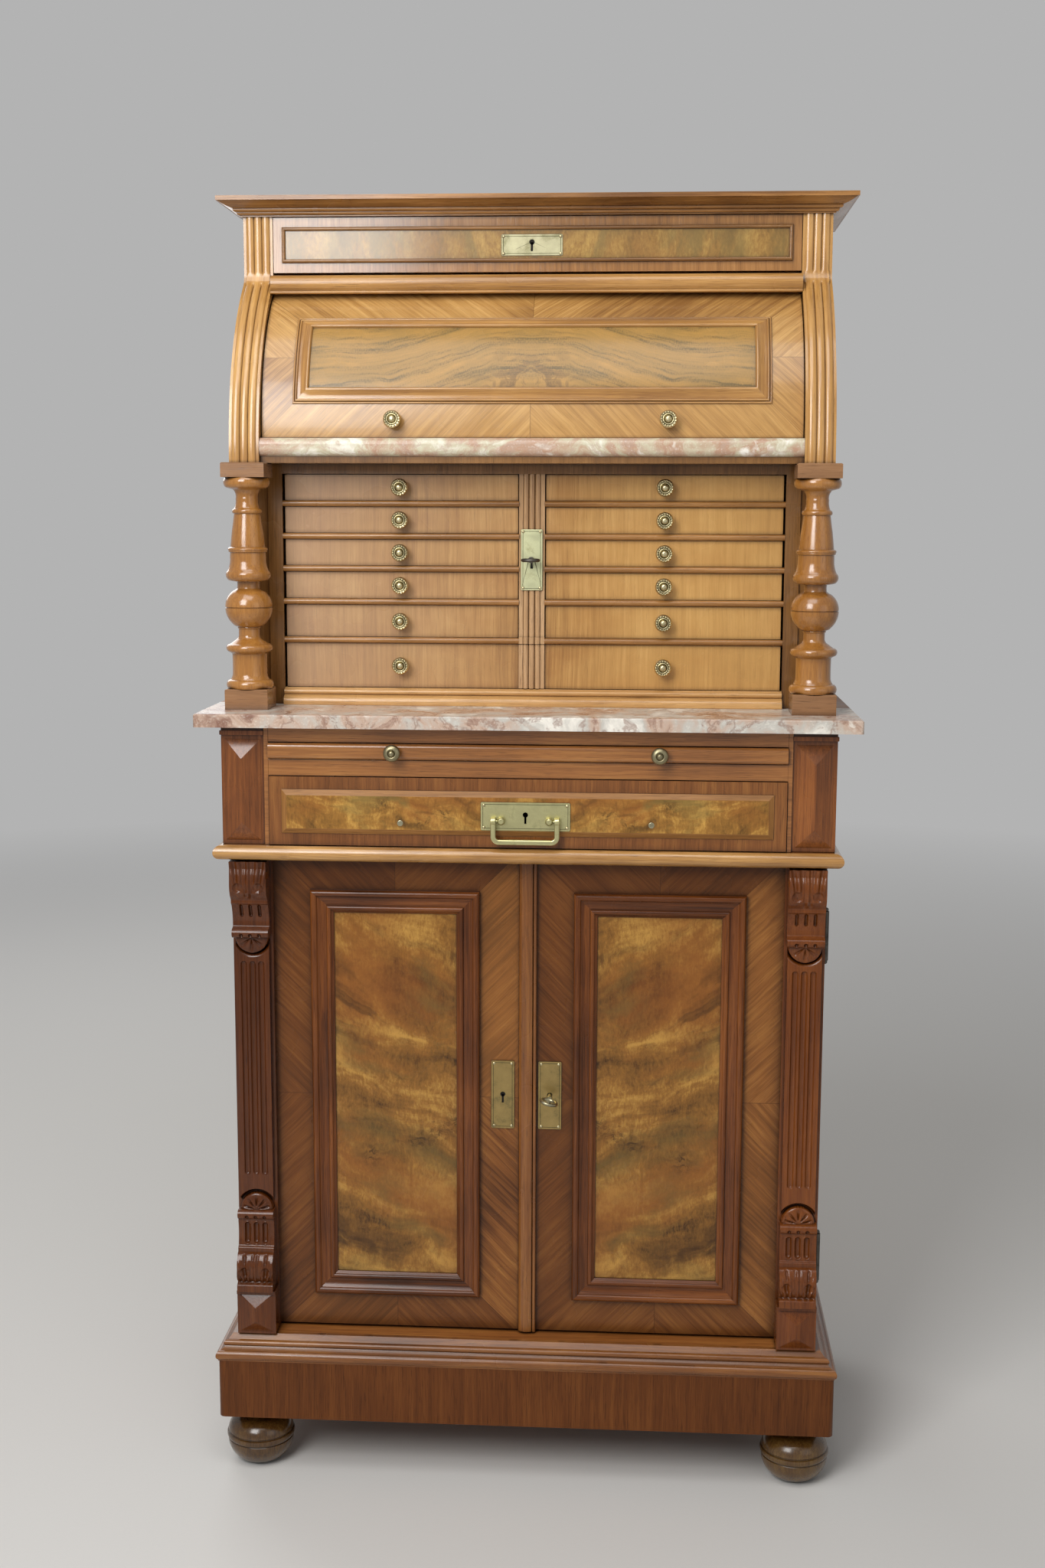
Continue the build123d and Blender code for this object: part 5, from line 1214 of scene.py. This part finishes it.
class CabinetBail(bpy.types.Operator):
    """Bend the drawer's bail from square bar, with eyes on its pins"""
    bl_idname = "cabinet.bail"
    bl_label = "Drawer Bail"

    def execute(self, context):
        """A rounded square section carried down one arm, round two bends of radius b and up the other arm."""
        w, y, top, drop, b = 38.6, -211.4, 852.5, 25.6, 7.0
        thick, pin_x = 3.1, 32.6
        a = np.linspace(0, np.pi / 2, 13)
        low = top - drop
        left = np.stack([-w + b - b * np.cos(a), low + b - b * np.sin(a)], 1)
        half = np.concatenate([[[-w, top]], left])
        path = np.concatenate([half, half[::-1] * [-1, 1]])
        way = np.gradient(path, axis=0)
        way /= np.linalg.norm(way, axis=1)[:, None]
        t = np.linspace(0, 2 * np.pi, 28, endpoint=False)
        c, d = np.cos(t), np.sin(t)
        r = thick / (np.abs(c) ** 6 + np.abs(d) ** 6) ** (1 / 6)
        side = np.stack([-way[:, 1], way[:, 0]], 1)
        p = path[:, None, :] + side[:, None, :] * (r * c)[None, :, None]
        rod = np.stack([p[..., 0], np.broadcast_to(y + r * d, p.shape[:2]), p[..., 1]], -1)
        parts = [(rod, quads(len(path), len(t), wrap_cols=True))]
        eye = arcs([(0, -3.2), (4.0, -3.2), (4.5, -2.9, 1), (4.7, -2.2), (4.7, 2.2), (4.5, 2.9, 1), (4.0, 3.2),
                    (0, 3.2)], 4)
        pin = [(0, -6.7), (1.6, -6.7), (1.6, 6.7), (0, 6.7)]
        for s in (-1, 1):
            parts += [turned(eye, (s * w, y, top), "x", 28), turned(pin, (s * pin_x, y, top), "x", 20)]
        points, faces = gather(parts)
        piece("drawer_bail.bar", points, faces, "drawer_bail", "brass", "brass", ("drawer_bail",), smooth=40)
        return {"FINISHED"}


def small_drawers():
    """Name and knob place of each small drawer."""
    for side, s in SIDES:
        for i, z in enumerate(BANK_ROWS):
            yield "small_drawer_%s_%d" % (side, i + 1), s * KNOB_X, z


class CabinetDrawers(bpy.types.Operator):
    """Dress the drawers: veneered fronts on pine boxes, with their panels"""
    bl_idname = "cabinet.drawers"
    bl_label = "Drawers"

    def dress(self, node, finish, face, thick, edge=None, knobs=()):
        """One drawer without its knobs: front, box behind it and, with a third finish, what stands out in front."""
        tri = node_triangles(node)
        for x, z in knobs:
            tri = tri[~inside_knob(tri, x, z)]
        kind = (tri[..., 1] > face + thick + NEAR).any(1).astype(int)
        if len(finish) > 2:
            kind[(tri[..., 1] < face - NEAR).any(1)] = 2
        soften(node_copy(node, tri, finish, "walnut", kind), edge)

    def raised_panel(self):
        """Raised panel of the lower drawer: rectangles that step in and out along its bevel, burl inside the last."""
        steps = np.array([(0, -0.4), (0, 1.0), (5.6, 4.7), (6.0, 4.95), (6.6, 5.12), (7.4, 5.12)])
        hw, hh = (half - steps[:, 0] for half in DRAWER_PANEL_HALF)
        x = np.stack([-hw, hw, hw, -hw], 1)
        z = DRAWER_PANEL_Z + np.stack([-hh, -hh, hh, hh], 1)
        y = np.repeat(DRAWER_FACE - steps[:, 1:], 4, 1)
        p = np.stack([x, y, z], -1)
        faces = np.concatenate([quads(len(steps), 4, wrap_cols=True), [[0, 3, 2, 1], [20, 21, 22, 23]]])
        kind = np.zeros(len(faces), int)
        kind[[-1, -3, -4, -5, -6]] = 1  # the front and the last step's four faces, not the back
        piece("lower_drawer.panel", p.reshape(-1, 3), faces, "lower_drawer", ("bevel", "drawer_burl"), "burl",
              face_finish=kind, smooth=20)

    def beads(self):
        """Beaded strips between the rows. The lowest stops at the pilaster: its half-round outline runs along X on
        either side, with a plain board between."""
        tri = node_triangles("bank_dust_boards")
        low = (tri[..., 2] < LOW_BEAD_TOP).all(1)
        node_copy("bank_dust_boards", tri[~low], "amber_x", "walnut")
        (x0, tip, z0), (x1, back, z1) = tri[low].reshape(-1, 3).min(0), tri[low].reshape(-1, 3).max(0)
        face = tip + 0.5 * (z1 - z0)
        half = arcs([(face, z0), (tip, 0.5 * (z0 + z1), 1), (face, z1), (back, z1), (back, z0)], 12)
        mid = (face + 20, 0.5 * (z0 + z1))
        parts = [bar(half, (x0, -BANK_PILASTER_HALF), mid), bar(half, (BANK_PILASTER_HALF, x1), mid),
                 slab(-BANK_PILASTER_HALF, BANK_PILASTER_HALF, face, back, z0, z1)]
        piece("bank_dust_boards.low", *gather(parts), CABINET, "amber_x", "walnut")

    def execute(self, context):
        for name, x, z in small_drawers():
            self.dress(name, ("front", "pine_y"), BANK_FACE, BANK_THICK, knobs=((x, z),))
        self.dress("wide_drawer", ("front", "pine_y", "rib"), BANK_FACE, BANK_THICK, 0.3 * MM,
                   ((KNOB_X, WIDE_KNOB_Z), (-KNOB_X, WIDE_KNOB_Z)))
        rib = arcs([(16, -5.2), (11, -5.2), (11, -3.6), (7.4, -6.6, 1), (3.8, -3.6), (0, -6.6, 1), (-3.8, -3.6),
                    (-7.4, -6.6, 1), (-11, -3.6), (-11, -5.2), (-16, -5.2), (-16, 1), (16, 1)], 8)
        lap = bar(rib + (0, BANK_FACE), LOW_BEAD_LAP, (0, BANK_FACE + 0.5), "z")
        piece("bank_pilaster.lap", *lap, CABINET, "rib", "dark_walnut", smooth=30)
        self.beads()
        self.dress("lower_drawer", ("brown_z", "pine_y", "bevel"), DRAWER_FACE, DRAWER_THICK, 0.4 * MM)
        self.raised_panel()
        plug = arcs([(0, -0.3), (3.6, -0.3), (3.6, 0.1), (3.2, 0.35, 1), (2.6, 0.4), (0, 0.4)], 4)
        plugs = gather([turned(plug, (x, DRAWER_FACE - 5.0, z), "y", 24) for x, z in ((-152.5, 847.0), (152.0, 848.5))])
        piece("lower_drawer.plugs", *plugs, "lower_drawer", "nickel", "brass", smooth=40)
        self.dress("frieze_drawer", ("frieze_front", "pine_y", "dusk_x"), FRIEZE_FACE, FRIEZE_THICK, 0.4 * MM)
        half, *heights = FRIEZE_PANEL
        panel = slab(-half, half, FRIEZE_FACE - 0.5, FRIEZE_FACE + 0.2, *heights)
        soften(piece("frieze_drawer.panel", *panel, "frieze_drawer", "frieze_burl", "burl"), 0.2 * MM)
        return {"FINISHED"}


class CabinetKnobs(bpy.types.Operator):
    """Turn the knobs: rose, waist, beaded ring and centre button"""
    bl_idname = "cabinet.knobs"
    bl_label = "Knobs"

    HEAD = [(0, 0), (8.6, 0), (8.8, 0.8, 1), (8.4, 1.7), (6.6, 2.2), (5.4, 3.0), (4.5, 5, 1), (4.5, 7.2), (6.0, 8.4),
            (8.6, 9.6), (10.8, 13.4, 1), (9.9, 16.6), (9.4, 17.2), (7.2, 16.8), (6.8, 17.6), (6.1, 18.4, 1),
            (5.4, 17.8), (4.9, 17.2), (4.4, 17.8), (3.4, 20.0, 1), (0, 20.9)]
    SLIDE = [(0, 0), (7.5, 0), (7.6, 1, 1), (7.2, 2), (5.4, 2.9), (4.8, 4.4, 1), (5.2, 5.8), (8.0, 6.6), (10.2, 8.4),
             (10.3, 11, 1), (8.9, 13.2), (6.4, 14.9), (5.0, 15.0), (4.4, 14.4), (3.6, 15.4), (2.6, 16.9, 1), (0, 17.2)]

    # Radius of the ring of beads, its distance out and the radius of a bead
    RING, OUT, BEAD = 8.3, 17.0, 1.35

    def knob(self, x, z, y):
        """A turned head and its beads, evenly round a ring."""
        parts = [turned(arcs(self.HEAD, 8), (x, y, z), "y", 48)]
        for a in np.linspace(0, 2 * np.pi, sizes().beads, endpoint=False):
            parts.append(ball((x + self.RING * math.cos(a), y - self.OUT, z + self.RING * math.sin(a)), self.BEAD))
        return gather(parts)

    def execute(self, context):
        for body, x, z in small_drawers():
            piece(body + ".knob", *self.knob(x, z, BANK_FACE), body, "bronze", "brass", smooth=50)
        both = gather([self.knob(s * KNOB_X, WIDE_KNOB_Z, BANK_FACE) for s in (1, -1)])
        piece("wide_drawer.knobs", *both, "wide_drawer", "bronze", "brass", smooth=50)
        both = gather([turned(arcs(self.SLIDE, 8), (s * SLIDE_KNOB[0], *SLIDE_KNOB[1:]), "y", 48) for s in (1, -1)])
        piece("writing_slide.knobs", *both, "writing_slide", "dull_brass", "brass", ("slide_knobs",), smooth=50)
        points, faces = gather([self.knob(s * ROLL_KNOB_X, ROLL_AXIS[1], ROLL_AXIS[0] - ROLL_R) for s in (1, -1)])
        a = math.radians(ROLL_KNOB_UP)
        y, z = points[:, 1] - ROLL_AXIS[0], points[:, 2] - ROLL_AXIS[1]
        points[:, 1] = ROLL_AXIS[0] + y * math.cos(a) + z * math.sin(a)
        points[:, 2] = ROLL_AXIS[1] - y * math.sin(a) + z * math.cos(a)
        piece("roll_front.knobs", points, faces, "roll_front", "bronze", "brass", ("roll_front_knobs",), smooth=50)
        return {"FINISHED"}


class CabinetFittings(bpy.types.Operator):
    """Add the pins and keyhole shadows of the plates, and dress the door fittings"""
    bl_idname = "cabinet.fittings"
    bl_label = "Plates and Pins"

    # Name, body, span in X and Z, face behind it, thickness, keyhole and distance of the pins from the edges
    PLATES = [
        ("frieze_lock", "frieze_drawer", (-42.0, 34.0), (1535.3, 1561.0), FRIEZE_FACE, 1.4, (-4.0, 1551.5), 2.6),
        ("bank_lock", CABINET, (-13.4, 13.4), (1124.8, 1200.0), -95.0, 1.4, (0.0, 1162.6), 2.8),
        ("handle", "lower_drawer", (-54.0, 54.0), (840.1, 874.5), -204.0, 1.4, (0.0, 859.5), 3.6),
        ("right_lock", "right_door", (15.2, 44.0), (453.1, 540.8), DOOR_FACE, 1.5, (29.5, 497.5), 3.4),
        ("left_lock", "left_door", (-44.0, -15.2), (453.1, 540.8), DOOR_FACE, 1.5, (-29.5, 497.5), 3.4),
    ]

    def execute(self, context):
        r = sizes().pin / MM
        head = arcs([(r, -0.6), (r, 0.2), (0.7 * r, 0.85, 1), (0, 1.0)], 6)
        head = np.concatenate([[[0, -0.6]], head])
        rim, line = 2.2, 0.6
        hole_r, slot_half, slot_drop = 3.19, 1.29, 10.9
        for name, body, xs, zs, face, thick, hole, inset in self.PLATES:
            at = [(x, z) for x in (xs[0] + inset, xs[1] - inset) for z in (zs[0] + inset, zs[1] - inset)]
            pins = gather([turned(head, (x, face - thick, z), "y", 16) for x, z in at])
            piece(name + ".pins", *pins, body, "bronze", "brass", smooth=40)
            x0, x1, z0, z1 = xs[0] + rim, xs[1] - rim, zs[0] + rim, zs[1] - rim
            across, up, deep = (x0, x1), (z0 + line, z1 - line), (face - thick - 0.05, face - thick + 0.1)
            lines = gather([slab(*x, *deep, *z) for x, z in ((across, (z0, z0 + line)), (across, (z1 - line, z1)),
                                                             ((x0, x0 + line), up), ((x1 - line, x1), up))])
            piece(name + ".border", *lines, body, "scored", "brass")
            # Painted shadow: a near-black disc and slot just behind each keyhole
            lift = 0.66 if name == "frieze_lock" else 0.12
            disc = [(0, lift), (hole_r, lift), (hole_r, lift - 0.1), (0, lift - 0.1)]
            keyhole_shadow = gather([turned(disc, (hole[0], face, hole[1]), "y", 24),
                             slab(hole[0] - slot_half, hole[0] + slot_half, face - lift, face - lift + 0.1,
                                  hole[1] - slot_drop, hole[1])])
            piece(name + ".keyhole", *keyhole_shadow, body, "keyhole", "dark_walnut")
        for side, _ in SIDES:
            node = side + "_door_fittings"
            tri = node_triangles(node)
            iron = (np.abs(tri[..., 0]) > 300).any(1) | (tri[..., 1] > DOOR_FACE + 1).any(1)
            node_copy(node, tri, ("old_brass", "iron"), "brass", iron.astype(int))
        return {"FINISHED"}


STEPS = (CabinetStage, CabinetBoards, CabinetFeet, CabinetColumns, CabinetPosts, CabinetPilasters, CabinetRollRim,
         CabinetRail, CabinetBail, CabinetDrawers, CabinetKnobs, CabinetFittings)


class CabinetPanel(bpy.types.Panel):
    """Steps that dress the cabinet, with its sizes and colours"""
    bl_idname = "VIEW3D_PT_cabinet"
    bl_label = "Dental Cabinet"
    bl_space_type = "VIEW_3D"
    bl_region_type = "UI"
    bl_category = "Cabinet"

    def draw(self, context):
        for step in STEPS:
            self.layout.operator(step.bl_idname)
        for group in (context.scene.cabinet_sizes, context.scene.cabinet_colours):
            box = self.layout.box()
            for key in group.__annotations__:
                box.prop(group, key)


CLASSES = (CabinetSizes, CabinetColours) + STEPS + (CabinetPanel,)


def register():
    for cls in CLASSES:
        bpy.utils.register_class(cls)
    bpy.types.Scene.cabinet_sizes = bpy.props.PointerProperty(type=CabinetSizes)
    bpy.types.Scene.cabinet_colours = bpy.props.PointerProperty(type=CabinetColours)


def unregister():
    del bpy.types.Scene.cabinet_colours
    del bpy.types.Scene.cabinet_sizes
    for cls in reversed(CLASSES):
        bpy.utils.unregister_class(cls)


def main():
    register()
    for step in STEPS:
        group, name = step.bl_idname.split(".")
        getattr(getattr(bpy.ops, group), name)()


if __name__ == "__main__":
    main()
